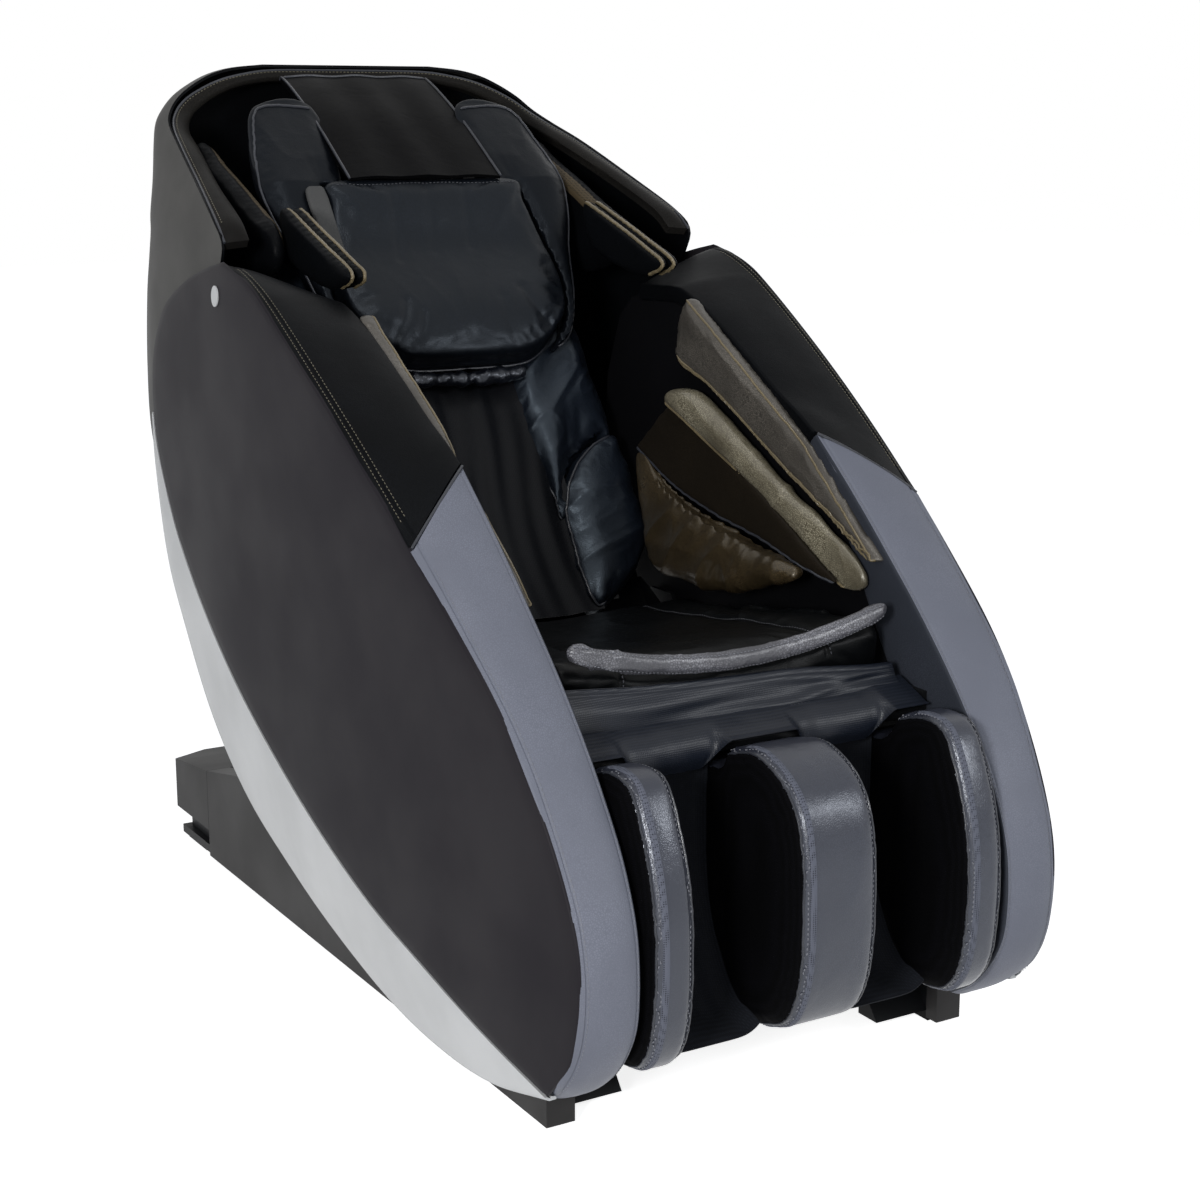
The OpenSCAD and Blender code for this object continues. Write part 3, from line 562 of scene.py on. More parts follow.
# Metals, enamel and rubber of the frame and drives
STEEL_ZINC = metal("zinc_plated_steel", "#8f9290", 0.36)
STEEL_TURNED = metal("turned_steel", "#b5b7ba", 0.26, along=0)
STEEL_ROLLED = metal("rolled_steel_rail", "#8d9094", 0.34, along=1)
STEEL_SCREW = metal("rolled_steel_screw", "#a7a9ac", 0.3, along=2)
CHROME = metal("hard_chrome", "#c9ccd0", 0.12)
ALUMINIUM = metal("die_cast_aluminium", "#8b8d8f", 0.42)
ENAMEL = plastic("grey_enamel", "#3b3d40", "#434548", 0.4, grain=2.5, depth=0.05)
RUBBER = plastic("moulded_rubber", "#0c0c0d", "#141415", 0.75, grain=2.0, depth=0.12, level=0.15)
NYLON = plastic("beige_nylon", "#8a7f72", "#968b7e", 0.5, grain=2.0, depth=0.05)
SWITCH_RED = plastic("dark_red_switch", "#5e1414", "#6b1818", 0.3, grain=4.0, depth=0.02)


def paint(obj, mat):
    obj.data.materials.clear()
    obj.data.materials.append(mat)
    return obj


def piece(obj, mat, body, slot, *stands_for, fill=None, second=None, chosen=None):
    paint(obj, mat)
    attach(obj, body)
    if stands_for:
        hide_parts(*stands_for)
    if second:
        two_tone(obj, second, chosen)
    return obj


# Carried-over frame, drive and base solids
for names, mat in (
        ("base_frame carriage_frame seat_frame back_frame leg_frame", STEEL_BLACK),
        ("base_rear_cover base_side_cover_left base_side_cover_right", ABS_BASE),
        ("base_feet transport_wheels", RUBBER),
        ("slide_rails", STEEL_ROLLED),
        ("control_box", STEEL_ZINC),
        ("air_pump slide_motor", ALUMINIUM),
        ("mains_inlet inner_wall_left inner_wall_right leg_tray", ABS_BLACK),
        ("power_switch", SWITCH_RED),
        ("slide_screw travel_screw", STEEL_SCREW),
        ("carriage_rollers_front carriage_rollers_rear", STEEL_TURNED),
        ("tilt_actuator recline_actuator leg_actuator massage_carriage", ENAMEL),
        ("tilt_rod recline_rod leg_rod", CHROME),
        ("kneading_rollers foot_rollers", NYLON),
        ("side_badges silver_trim_left silver_trim_right", PAINT_SILVER)):
    for name in names.split():
        paint(nodes[name], mat)


# ---------------------------------------------------------------- work on finished pads

def at_x(x, line):
    """Points of the side plane, set at a place across the chair."""
    return np.column_stack([np.full(len(line), float(x)), line])


def on_surface(obj, path, lift=0.0):
    """Path laid on a piece: its nearest surface points, raised by a distance along the surface's
    normals, which are averaged twice with their neighbours on the path."""
    bpy.context.view_layer.update()
    hits = [obj.closest_point_on_mesh(list(p * MM)) for p in path]
    at = np.array([h[1] for h in hits]) / MM
    n = np.array([h[2] for h in hits])
    for _ in range(2):
        n = unit(n + np.vstack([n[:1], n[:-1]]) + np.vstack([n[1:], n[-1:]]))
    return at + n * lift, n


def distance_to(points, path):
    """Distance from each point to the nearest of a path's points."""
    best = np.full(len(points), 1e9)
    for i in range(0, len(path), 40):
        gap = np.linalg.norm(points[:, None] - path[None, i:i + 40], axis=2).min(1)
        best = np.minimum(best, gap)
    return best


def seam(obj, path, depth, width):
    """Presses a groove along a path laid on a pad: depth times the bell curve of the distance
    over the width. A negative depth raises a ridge."""
    path = on_surface(obj, path)[0]
    p = points_of(obj)
    run = np.linalg.norm(np.diff(path, axis=0), axis=1).sum()
    near = distance_to(p, resample(path, max(8, int(run / 2))))
    move_points(obj, p - normals_of(obj) * (depth * np.exp(-(near / width) ** 2))[:, None])


def welt(name, obj, path, radius, lift=0.6):
    """Piping laid along a path on a pad, domed over the last two points at its ends."""
    at, n = on_surface(obj, path, lift)
    k = np.arange(len(at))
    return tube(name, at, radius * np.minimum(1, np.sqrt(np.minimum(k, k[::-1]) / 2 + 0.08)), n)


def sewing(name, obj, path, offset, lift, **form):
    """Row of stitches beside a path on a pad, offset across it along the surface."""
    at, n = on_surface(obj, path)
    side = unit(np.cross(slope(at), n))
    at, n = on_surface(obj, at + side * offset, lift)
    return stitches(name, at, n, **form)


def ribbon(name, obj, left, right, lift):
    """Flat strip laid on a pad between two paths: straight between them, put on the surface and
    raised, thinner at its two long edges."""
    count, columns = 90, 7
    a, b = resample(left, count), resample(right, count)
    s = np.linspace(0, 1, columns)
    flat = (a[:, None] * (1 - s)[None, :, None] + b[:, None] * s[None, :, None]).reshape(-1, 3)
    bpy.context.view_layer.update()
    hits = [obj.closest_point_on_mesh(list(p * MM)) for p in flat]
    at = (np.array([h[1] for h in hits]) / MM).reshape(count, columns, 3)
    n = np.array([h[2] for h in hits]).reshape(count, columns, 3)
    rise = lift * (1 - np.abs(2 * s - 1) ** 4 * 0.75)
    return shell(name, at + n * rise[None, :, None], at - n * 0.8, 38)


def two_tone(obj, second, chosen):
    """Gives the faces whose centres and normals are chosen a second material."""
    obj.data.materials.append(second)
    count = len(obj.data.polygons)
    centre, normal = np.empty(count * 3), np.empty(count * 3)
    obj.data.polygons.foreach_get("center", centre)
    obj.data.polygons.foreach_get("normal", normal)
    obj.data.polygons.foreach_set("material_index", chosen(
        centre.reshape(-1, 3) / MM, normal.reshape(-1, 3)).astype(np.int32))


def pair(obj, mat, body, slot, name, *stands_for, both=(), **form):
    """Finishes the sitter's left piece and its mirror image on the right. Each stands for the
    nodes of its own side, or for those that hold both sides."""
    for copy, hand in ((obj, "_left"), (mirrored(obj, name + "_right"), "_right")):
        piece(copy, mat, body, slot, *[node + hand for node in stands_for], *both, **form)


def skin_x(y):
    """Outer face of the side panels: a parabola of the place along the chair."""
    return 391 - (y - 135) ** 2 / (2 * 6667)


# ---------------------------------------------------------------- side pods

# Edges of the pods' pieces in the side plane: along the chair and up
PANEL_FRONT = rows([150, 955], [70, 935], [0, 900], [-162, 800], [-307, 700], [-437, 600],
                   [-552, 500], [-629, 400], [-680, 300], [-692, 220], [-676, 140], [-632, 84])
PANEL_REAR = rows([-632, 84], [-500, 116], [-370, 154], [-240, 193], [-100, 250], [30, 313],
                  [150, 378], [258, 450], [345, 521], [400, 578], [457, 665], [473, 735],
                  [463, 800], [427, 853], [380, 888], [296, 921], [217, 942], [150, 955])
CAP_OUTER = rows([146, 953], [100, 945], [50, 926], [0, 900], [-80, 852], [-162, 800],
                 [-240, 748], [-307, 700], [-362, 661])
CAP_INNER = rows([152, 902], [112, 903], [66, 904], [38, 900], [-25, 876], [-115, 828],
                 [-190, 785], [-240, 760], [-281, 737])
LOW_OUTER = rows([-367, 657], [-437, 600], [-500, 547], [-552, 500], [-596, 450], [-632, 395],
                 [-660, 345], [-680, 300], [-690, 255], [-692, 210], [-684, 160], [-662, 115],
                 [-628, 82], [-592, 63])
LOW_INNER = rows([-286, 733], [-365, 668], [-440, 601], [-505, 540], [-565, 477], [-612, 420],
                 [-650, 366], [-675, 316], [-689, 270], [-693, 215], [-687, 165], [-665, 122],
                 [-634, 87], [-597, 62])


def side_panel():
    """Thin curved shell: points in the chair's side plane run straight between the two edges,
    x is the skin's parabola less a quarter round at the edge, and the back is 5 mm inside it."""
    front, rear = spline(PANEL_FRONT, 180), spline(PANEL_REAR[::-1], 180)
    width = np.linalg.norm(front - rear, axis=1)[:, None]
    step = np.concatenate([[0, 0.25, 0.9, 2.0, 3.5], np.linspace(0.06, 0.5, 12) * 400])
    s = np.minimum(step[None] / np.maximum(width, 12), 0.5)
    s = np.concatenate([s, 1 - s[:, ::-1][:, 1:]], 1)
    at = front[:, None] * (1 - s[..., None]) + rear[:, None] * s[..., None]
    inset = np.minimum(s, 1 - s) * width
    drop = 3.5 - np.sqrt(np.maximum(0, 3.5 ** 2 - np.maximum(0, 3.5 - inset) ** 2))
    crown = 1.5 * (1 - np.exp(-inset / 40))
    x = skin_x(at[..., 0]) - 1.5 + crown - drop
    outer = np.concatenate([x[..., None], at], -1)
    inner = np.concatenate([(skin_x(at[..., 0]) - 5)[..., None], at], -1)
    return shell("side_panel_left_shell", outer, inner, 50)


pair(side_panel(), PAINT_CHARCOAL, "seat", "panel_charcoal", "side_panel_shell", "side_panel")


RIM_COUNT = 150  # rows along a rim
RIM_INNER_X, RIM_GAP = 262, 5.2  # inner corner across the chair; outer edge inside the skin
RIM_RISE, RIM_POWER = 6.5, 2.6


def rim_rise(s):
    """Height of a rim's padding at a place across it, from 0 inside to 1 outside."""
    return RIM_RISE * (1 - np.abs(2 * s - 1) ** RIM_POWER)


def rim_path(outer, inner):
    """Rows along a rim: its two edges as chair points and the direction out of the pod."""
    o, p = spline(outer, RIM_COUNT), spline(inner, RIM_COUNT)
    t = unit(slope(o) + slope(p))
    out = np.stack([t[:, 1], -t[:, 0]], 1)
    return o, p, out


def padded_rim(name, outer, inner, wrap, tuck, seams, ends=(0, 0)):
    """Padded cover of a pod's edge. Across the strip the height is 6.5 mm times one less the
    distance from the middle to the power 2.6; it turns down in a quarter round at the panel and
    wraps round the inner corner by a given depth. Its outer edge draws in 24 mm over the last
    tuck rows. seams are places across it with a groove; ends are rows over which it rounds."""
    o, p, out = rim_path(outer, inner)
    xo = skin_x(o[:, 0]) - RIM_GAP
    k = np.arange(RIM_COUNT)
    fade = np.clip((k - (RIM_COUNT - 1 - tuck)) / max(tuck, 1), 0, 1)
    xo = xo - 24 * ease(fade)
    grid = np.concatenate([np.linspace(0, 0.07, 6), np.linspace(0.08, 0.86, 26),
                           np.linspace(0.87, 1, 18)])
    rise = rim_rise(grid)
    for place in seams:
        rise = rise - 1.5 * np.exp(-((grid - place) / 0.012) ** 2)
    grow = np.ones(RIM_COUNT)
    for length, from_end in zip(ends, (k, k[::-1])):
        if length:
            near = 1 - np.clip(from_end / length, 0, 1)
            grow = np.minimum(grow, np.sqrt(np.clip(1 - near ** 2, 0, 1)))
    a = np.linspace(0, np.pi / 2, 6)[1:]

    def rowed(s, lift, x_shift):
        y = p[:, 0] * (1 - s) + o[:, 0] * s
        z = p[:, 1] * (1 - s) + o[:, 1] * s
        x = RIM_INNER_X * (1 - s) + xo * s
        return np.stack([x + x_shift, y + out[:, 0] * lift, z + out[:, 1] * lift], 1)

    columns = [rowed(s, h * grow - 2.2 * (1 - grow), 0) for s, h in zip(grid, rise)]
    columns += [rowed(1, -4 + 4 * math.cos(t), 3.4 * math.sin(t)) for t in a]
    columns += [rowed(1, -14, 3.4), rowed(1, -14, 0), rowed(0.5, -12, 0), rowed(0, -12, 4)]
    depth = np.broadcast_to(np.asarray(wrap, float), RIM_COUNT)
    columns += [rowed(0, -depth, 1.5), rowed(0, -depth - 1, 0.2), rowed(0, -depth + 1.5, -1.6)]
    for share in np.linspace(0.92, 0.12, 9):
        columns.append(rowed(0, -depth * share, -2.4 - 1.2 * math.sin(math.pi * share)))
    columns += [rowed(0, -5 + 4.5 * math.sin(t), -2.6 * math.cos(t)) for t in a[:-1]]
    return loft(name, np.stack(columns, 1), angle=60)


def rim_line(outer, inner, s, trim, lift):
    """Path along a rim at a place across it, and its normals, for stitches."""
    o, p, out = rim_path(outer, inner)
    x = RIM_INNER_X * (1 - s) + (skin_x(o[:, 0]) - RIM_GAP) * s
    path = np.column_stack([x, p * (1 - s) + o * s + out * (rim_rise(s) + lift)])
    return path[trim:-trim], at_x(0, out)[trim:-trim]


# The lower rim wraps 26 mm round the pod's inner corner at its top and 100 mm further down
wrap_depth = 26 + 74 * ease(np.linspace(0, 1, RIM_COUNT) * 2.4)
pair(padded_rim("lower_rim_left_cover", LOW_OUTER, LOW_INNER, wrap_depth, 16, (0.93, 0.05)),
     LEATHER_RIM, "seat", "rim_grey", "lower_rim_cover", "lower_rim", fill=0.9,
     second=LEATHER_SLATE, chosen=lambda c, n: (np.abs(c[:, 0]) < 262.5) & (np.abs(n[:, 0]) > 0.6))
pair(padded_rim("arm_cap_left_cover", CAP_OUTER, CAP_INNER, 24, 0, (0.93,), ends=(5, 0)),
     LEATHER_CAP, "seat", "cap_black", "arm_cap_cover", "arm_cap", fill=0.9)
for label, outer, inner, slot, mat, places in (
        ("lower_rim", LOW_OUTER, LOW_INNER, "rim_grey", THREAD, (0.905, 0.025)),
        ("arm_cap", CAP_OUTER, CAP_INNER, "cap_black", THREAD_WARM, (0.905, 0.965))):
    for k, s in enumerate(places):
        path, face = rim_line(outer, inner, s, trim=9, lift=0.3)
        pair(stitches(f"{label}_stitches_{k}_left", path, face, pitch=6.0, length=3.6, width=0.6),
             mat, "seat", slot, f"{label}_stitches_{k}")

# Piping that closes the seam between the cap and the lower rim
o, p, out = rim_path(LOW_OUTER, LOW_INNER)
cross = np.linspace(0.0, 1.0, 40)[:, None]
joint = np.hstack([RIM_INNER_X * (1 - cross) + (skin_x(o[0, 0]) - 4) * cross,
                   (p[0] + rows(-1, 2)) * (1 - cross) + (o[0] + rows(2, 2)) * cross])
joint[:, 1:] += out[0] * (5.2 * (1 - np.abs(2 * cross - 1) ** RIM_POWER) - 0.5)
pair(tube("cap_seam_welt_left", joint, 1.9, (0, -1, 0)), PIPING, "seat", "cap_black",
     "cap_seam_welt")

# Panel's edge and the trim's own edge, each along the chair and up, then the places across the
# chair of the trim's edge and of its flange
TRIM_ROWS = rows([473, 720, 476, 716, 382, 378], [457, 665, 474, 640, 381, 376],
                 [400, 578, 448, 510, 378, 373], [345, 521, 405, 415, 372, 367],
                 [258, 450, 330, 290, 362, 354], [150, 378, 215, 198, 357, 332],
                 [30, 313, 80, 134, 351, 314], [-100, 250, -60, 87, 348, 314],
                 [-240, 193, -229, 49, 346, 314], [-370, 154, -366, 37, 344, 314],
                 [-500, 116, -492, 44, 342, 318], [-631, 83, -628, 78, 341, 330])


def silver_trim():
    """Crescent shell: straight from the panel's lower edge to the trim's own edge with a slight
    bow of 3 mm, then a rounded lip and a flange inwards; 4 mm thick."""
    r = spline(TRIM_ROWS, 140)
    a = np.stack([skin_x(r[:, 0]) - 0.9, r[:, 0] + 0.8, r[:, 1] - 0.8], 1)
    b = r[:, [4, 2, 3]]
    width = np.linalg.norm(a - b, axis=1)
    s = np.linspace(0, 1, 14)[:, None, None]
    face = a * (1 - s) + b * s
    bow = np.minimum(3.0, width * 0.03)[None, :] * np.sin(np.pi * s[..., 0])
    face[..., 0] += bow - 0.3
    lip = [b + rows(-2.5 + 2.5 * math.cos(t), 0, -2.5 * math.sin(t) + 0.6)
           for t in np.linspace(0.3, 1.57, 4)]
    flange = np.stack([r[:, 5], r[:, 2], r[:, 3] - 1.5], 1)
    columns = [*face, *lip, flange, flange + rows(0, 0, 3.5), b + rows(-4, 0, 3.5)]
    columns += [a * (1 - t) + b * t - rows(4, 0, 0) for t in (0.75, 0.5, 0.25)]
    columns += [a - rows(4, 0, 0), a - rows(2.5, -1.2, 0)]
    return loft("silver_trim_left_shell", np.stack(columns, 1), angle=50)


pair(silver_trim(), PAINT_SILVER, "seat", "trim_silver", "silver_trim_shell", "silver_trim")


# ---------------------------------------------------------------- hood

# Height, half width, and where the wing's edge and the rear are along the chair
HOOD_ROWS = rows([400, 238, 330, 500], [450, 260, 318, 545], [520, 318, 312, 602],
                 [600, 360, 305, 652], [680, 371, 296, 682], [780, 372, 275, 693],
                 [880, 372, 240, 688], [940, 372, 205, 676], [976, 372, 192, 666],
                 [1004, 369, 229, 660], [1050, 354, 329, 654], [1101, 336, 446, 652],
                 [1131, 321, 522, 650], [1152, 304, 558, 648], [1172, 284, 572, 645],
                 [1190, 256, 581, 641], [1204, 226, 588, 635], [1213, 190, 594, 628],
                 [1218, 140, 600, 620])


def hood_shell():
    """Rounded shell: each level's plan is the superellipse of power 4.5 from one wing's edge
    round the rear to the other, and faces between the two halves of the last level close the
    top. The wall is 4 mm thick."""
    levels, places = 130, 121
    q = spline(HOOD_ROWS, levels)
    turn = np.linspace(0, np.pi, places)
    turn = turn - 0.12 * np.sin(2 * turn)
    c, s = np.cos(turn)[None], np.sin(turn)[None]
    x = -q[:, 1:2] * np.sign(c) * np.abs(c) ** (2 / 4.5)
    y = q[:, 2:3] + (q[:, 3:4] - q[:, 2:3]) * np.maximum(s, 0) ** (2 / 4.5)
    z = np.broadcast_to(q[:, 0:1], x.shape)
    grid = np.stack([x, y, z], -1)
    faces = quads(levels, places).tolist()
    last = (levels - 1) * places
    for i, j in zip(range(last, last + places // 2), range(last + places - 1, last, -1)):
        faces.append([i, i + 1, j - 1, j] if j - i > 2 else [i, i + 1, j])
    obj = new_object("hood_shell", grid, faces)
    b = bmesh.new()
    b.from_mesh(obj.data)
    bmesh.ops.remove_doubles(b, verts=b.verts, dist=2e-6)
    bmesh.ops.recalc_face_normals(b, faces=b.faces)
    b.to_mesh(obj.data)
    b.free()
    probe = normals_of(obj)[np.argmax(points_of(obj)[:, 1])]
    if probe[1] < 0:
        obj.data.flip_normals()
    wall = obj.modifiers.new("wall", "SOLIDIFY")
    wall.thickness = 4 * MM
    wall.offset = -1
    settled(obj)
    shade(obj, 40)
    return obj


def hood_lining(centre, normal):
    """Faces of the hood that look forwards or inwards."""
    forwards = (normal[:, 1] < -0.4) & (centre[:, 2] < 1130)
    inwards = (normal[:, 0] * centre[:, 0] < 0) & (np.abs(normal[:, 0]) > 0.35)
    crown = (normal[:, 1] < -0.2) & (centre[:, 1] > 500)
    return forwards | inwards | crown


piece(hood_shell(), PAINT_HOOD, "backrest", "hood_grey", "back_hood", second=LEATHER_CAP,
      chosen=hood_lining)

# Outer and inner edge of the hood's rim on the sitter's left, from its tip to the crown
RIM_ROWS = rows([366, 192, 977, 334, 192, 980], [362, 229, 1003, 331, 229, 1006],
                [346, 329, 1047, 322, 329, 1047], [328, 446, 1097, 304, 446, 1094],
                [312, 520, 1126, 293, 514, 1118], [294, 557, 1147, 276, 554, 1138],
                [273, 572, 1165, 254, 570, 1155], [243, 581, 1181, 226, 578, 1171],
                [212, 588, 1193, 196, 585, 1183], [177, 594, 1201, 164, 591, 1190],
                [130, 599, 1207, 125, 596, 1194], [50, 601, 1208, 50, 598, 1194])
HOOD_RIM_COUNT = 220


def hood_edge():
    """Outer and inner edges of the hood's padded rim from one tip over the crown to the other,
    the direction across it and the direction in which it stands out."""
    both_halves = np.vstack([RIM_ROWS, RIM_ROWS[::-1] * rows(-1, 1, 1, -1, 1, 1)])
    q = spline(both_halves, HOOD_RIM_COUNT)
    outer, inner = q[:, :3], q[:, 3:]
    side = unit(outer - inner)
    out = unit(np.cross(slope(outer), side))
    out *= np.where(out[:, 1:2] > 0.2, -1, 1)
    out *= np.sign(np.sum(out * rows(0, -1, 0.6), axis=1, keepdims=True))
    return outer, inner, side, out


def hood_rim():
    """Crowned band: a half wave of 5.5 mm to the power 0.7 across it, with a groove for its
    stitches, closed behind by a flat back 12 mm deep."""
    outer, inner, side, out = hood_edge()
    along = np.arange(HOOD_RIM_COUNT)
    end = np.minimum(along, along[::-1]) / 6
    grow = np.sqrt(np.clip(1 - (1 - np.clip(end, 0, 1)) ** 2, 0, 1))[:, None]
    columns = []
    for s in np.linspace(0, 1, 17):
        lift = 5.5 * np.sin(np.pi * s) ** 0.7 - 1.0 * math.exp(-((s - 0.86) / 0.03) ** 2)
        columns.append(inner * (1 - s) + outer * s + side * 1.5 * (2 * s - 1) + out * lift * grow)
    columns += [outer - out * 5, outer - out * 12, inner - out * 12, inner - out * 5]
    return loft("hood_rim_cover", np.stack(columns, 1), angle=60)


piece(hood_rim(), LEATHER_HOOD, "backrest", "rim_leather", "hood_rim")
outer, inner, side, out = hood_edge()
piece(tube("hood_rim_welt", outer + side * 2.0 + out * 0.6, 2.0, out), PIPING, "backrest",
      "rim_leather")
piece(stitches("hood_rim_stitches", (inner * 0.14 + outer * 0.86 + side + out * 3.3)[6:-6],
               out[6:-6], pitch=6.0, length=3.8, width=0.7), THREAD_WARM, "backrest",
      "rim_leather")


# ---------------------------------------------------------------- back

def back_path(points, forward, count=80, closed=False):
    """Curve through (x, up the back) points at a distance in front of the back's face."""
    p = spline(points, count, closed)
    return on_back(np.stack([p[:, 0], np.full(len(p), -forward), p[:, 1]], 1))


def near_lines(*paths, reach):
    """Sewing weight: one on the paths, falling off as a bell curve of the distance."""
    return lambda p: np.maximum.reduce([np.exp(-(distance_to(p, q) / reach) ** 2) for q in paths])


def curtain():
    """Loose cloth over the massage rollers: from the top of the back to the seat, with upright
    folds, the sum of three sines across it whose phases drift with the height."""
    u, v = np.meshgrid(np.linspace(-1, 1, 150), np.linspace(0, 1, 120))
    x, up = u * 118, 4 + 690 * v
    lean = np.sin(up / 120)
    fold = (1.9 * np.sin(x / 11 + 1.1 * lean) + 2.6 * np.sin(x / 19 - 1.7 * lean + 1)
            + 1.6 * np.sin(x / 6.1 + 2.3 * np.sin(up / 75)))
    fold = fold * (0.45 + 0.55 * np.sin(np.pi * np.clip(v * 1.7, 0, 1)) ** 0.6)
    sag = 13 - 8 * np.abs(u) ** 3
    face = on_back(np.stack([x, sag - fold, up], -1))
    return shell("back_curtain", face, on_back(np.stack([x, sag - fold + 2.0, up], -1)))


drape = curtain()
piece(drape, CLOTH_DRAPE, "backrest", "back_leather", "back_cushion")

UPPER_BOLSTER = rows([74, 384], [77, 290], [84, 220], [91, 170], [95, 138], [103, 160], [118, 196],
                     [142, 232], [172, 258], [205, 275], [230, 282], [231, 420], [224, 560],
                     [200, 690], [96, 690], [78, 560])
LOWER_BOLSTER = rows([97, 132], [104, 166], [122, 204], [148, 236], [180, 260], [214, 273],
                     [231, 262], [232, 180], [231, 112], [206, 72], [164, 34], [124, 12],
                     [106, 10], [97, 60])


def bolster(name, outline, low, high):
    """Side bolster of the back: sewn all round at its outline and blown up."""
    form = pad_form(name, outline, low, high, 22, back_pad, 130)
    edge = back_path(outline, low, 160, True)
    return inflate(form, voxel=5.5, pressure=4.5, cap=12, frames=20,
                   pin=near_lines(edge, reach=9))


def folded(obj, size, depth, shift, frame_of, power=2.4):
    """Adds soft folds: one less the absolute noise, to a power, stretched in a frame, along
    the smooth normals."""
    p = points_of(obj)
    q = frame_of(p) + shift
    ridge = (1 - np.abs(noise(q, size))) ** power
    fine = (1 - np.abs(noise(q + 11, size * 0.5))) ** power
    move_points(obj, p + normals_of(obj) * ((ridge * 0.75 + fine * 0.25 - 0.4) * depth)[:, None])


def back_of(p):
    """Chair points in the back's coordinates: across, behind the face, up along it."""
    s, c = math.sin(LEAN), math.cos(LEAN)
    y, z = p[:, 1] - BACK_FOOT[1], p[:, 2] - BACK_FOOT[2]
    return p[:, 0], y * c - z * s, y * s + z * c


def slanted(turn, along, across):
    """Frame in the back's plane, turned by an angle from upright and drawn out along it."""
    c, s = math.cos(turn), math.sin(turn)

    def frame_of(p):
        x, y, up = back_of(p)
        return np.stack([(np.abs(x) * s + up * c) * along, y * 0.6,
                         (np.abs(x) * c - up * s) * across], 1)
    return frame_of


upper = bolster("upper_bolster_left", UPPER_BOLSTER, -52, -6)
lower = bolster("lower_bolster_left", LOWER_BOLSTER, -52, 2)
folded(upper, 50, 7.5, 111.0, slanted(0.8, 0.38, 1.25), 1.9)
folded(lower, 46, 6.5, 74.0, slanted(1.25, 0.38, 1.25), 1.9)
for obj in (upper, lower):
    shade(obj, 70)
welts = [welt("upper_bolster_welt_left", upper, back_path(UPPER_BOLSTER[:5], -12, 60), 1.8),
         welt("lower_bolster_welt_left", lower,
              back_path(np.vstack([LOWER_BOLSTER[11:], LOWER_BOLSTER[:6]]), -4, 110), 2.2)]
pair(upper, LEATHER_BACK, "backrest", "back_leather", "upper_bolster", fill=0.7)
pair(lower, LEATHER_BACK, "backrest", "back_leather", "lower_bolster", fill=0.7)
for k, obj in enumerate(welts):
    pair(obj, PIPING, "backrest", "back_leather", f"bolster_welt_{k}")


def band():
    """Soft strip below the pillow: a flattened tube whose thickness swells and wanes with slow
    noise, drawn up a little at its ends."""
    u = np.linspace(-1, 1, 200)[:, None]
    a = np.linspace(0, 2 * np.pi, 25)[None, :-1]
    probe = np.stack([u * 92 + 0 * a, 5 * np.cos(a) + 0 * u, 9 * np.sin(a) + 0 * u], -1)
    ruck = 0.96 + 0.3 * noise(probe * rows(1, 1, 0.4), 13) + 0.14 * noise(probe + 50, 7)
    close = np.sqrt(np.clip(1 - np.clip((np.abs(u) - 0.96) / 0.04, 0, 1) ** 2, 0.04, 1))
    up = 371 + 5 * u ** 2 + 12 * np.sin(a) * ruck * close
    forward = 16 + 11 * np.cos(a) * ruck * close
    return loft("pillow_band", on_back(np.stack([u * 92 + 0 * a, -forward, up], -1)), angle=70)


piece(band(), LEATHER_BAND, "backrest", "back_leather", fill=0.4)

PILLOW_HALF = rows([88, 388], [130, 407], [164, 444], [178, 480], [180, 527], [172, 580],
                   [160, 640], [147, 677])
PILLOW_EDGE = np.vstack([[[0, 386]], PILLOW_HALF, [[0, 679]], PILLOW_HALF[::-1] * rows(-1, 1)])
PILLOW_EDGE[:, 1] += 4 * ease((PILLOW_EDGE[:, 1] - 640) / 36)


# Depth and width of each furrow, and its path
PILLOW_FOLDS = ((2.4, 7, [-126, 412], [-104, 440], [-92, 470]),
                (1.8, 6, [-104, 400], [-80, 428], [-70, 452]),
                (1.3, 8, [-60, 664], [-66, 600], [-74, 548]),
                (1.0, 9, [-2, 664], [-10, 600], [-14, 560]),
                (1.2, 8, [58, 664], [50, 610], [46, 566]),
                (1.2, 9, [70, 404], [60, 436], [64, 470]),
                (1.8, 8, [132, 424], [112, 452], [100, 486]))


def pillow():
    """Head pillow: sewn round its rim and blown up. A broad hollow, a bell curve of the height,
    parts its upper half from its lower one, which swells by another, and soft furrows run in
    from its corners."""
    form = pad_form("head_pillow_pad", PILLOW_EDGE, 6, 64, 11, back_pad, 150)
    rim = back_path(PILLOW_EDGE, 20, 200, True)
    obj = inflate(form, voxel=5, pressure=5, cap=4, frames=20, pin=near_lines(rim, reach=8))
    p = points_of(obj)
    x, y, up = back_of(p)
    dip = 13 * np.exp(-((up - 570) / 55) ** 2) - 6 * np.exp(-((up - 455) / 45) ** 2)
    dip = dip * (1 - (x / 190) ** 4) * ease((-y - 10) / 30)
    s, c = math.sin(LEAN), math.cos(LEAN)
    move_points(obj, p + dip[:, None] * rows(0, c, -s))
    for depth, width, *line in PILLOW_FOLDS:
        seam(obj, back_path(rows(*line), 62), depth, width)
    folded(obj, 64, 1.8, 9.0, slanted(0.5, 0.6, 1))
    shade(obj, 70)
    return obj, rim


cushion, rim = pillow()
top_line = back_path(rows([-142, 672], [0, 675], [142, 672]), 60, 90)
piece(welt("pillow_welt", cushion, np.vstack([rim, rim[:1]]), 1.8), PIPING, "head_pillow",
      "head_leather")
piece(sewing("pillow_stitches", cushion, top_line, 7, 0.5, pitch=6), THREAD_DARK, "head_pillow",
      "head_leather")
piece(cushion, LEATHER_PILLOW, "head_pillow", "head_leather", "head_pillow", fill=0.8)

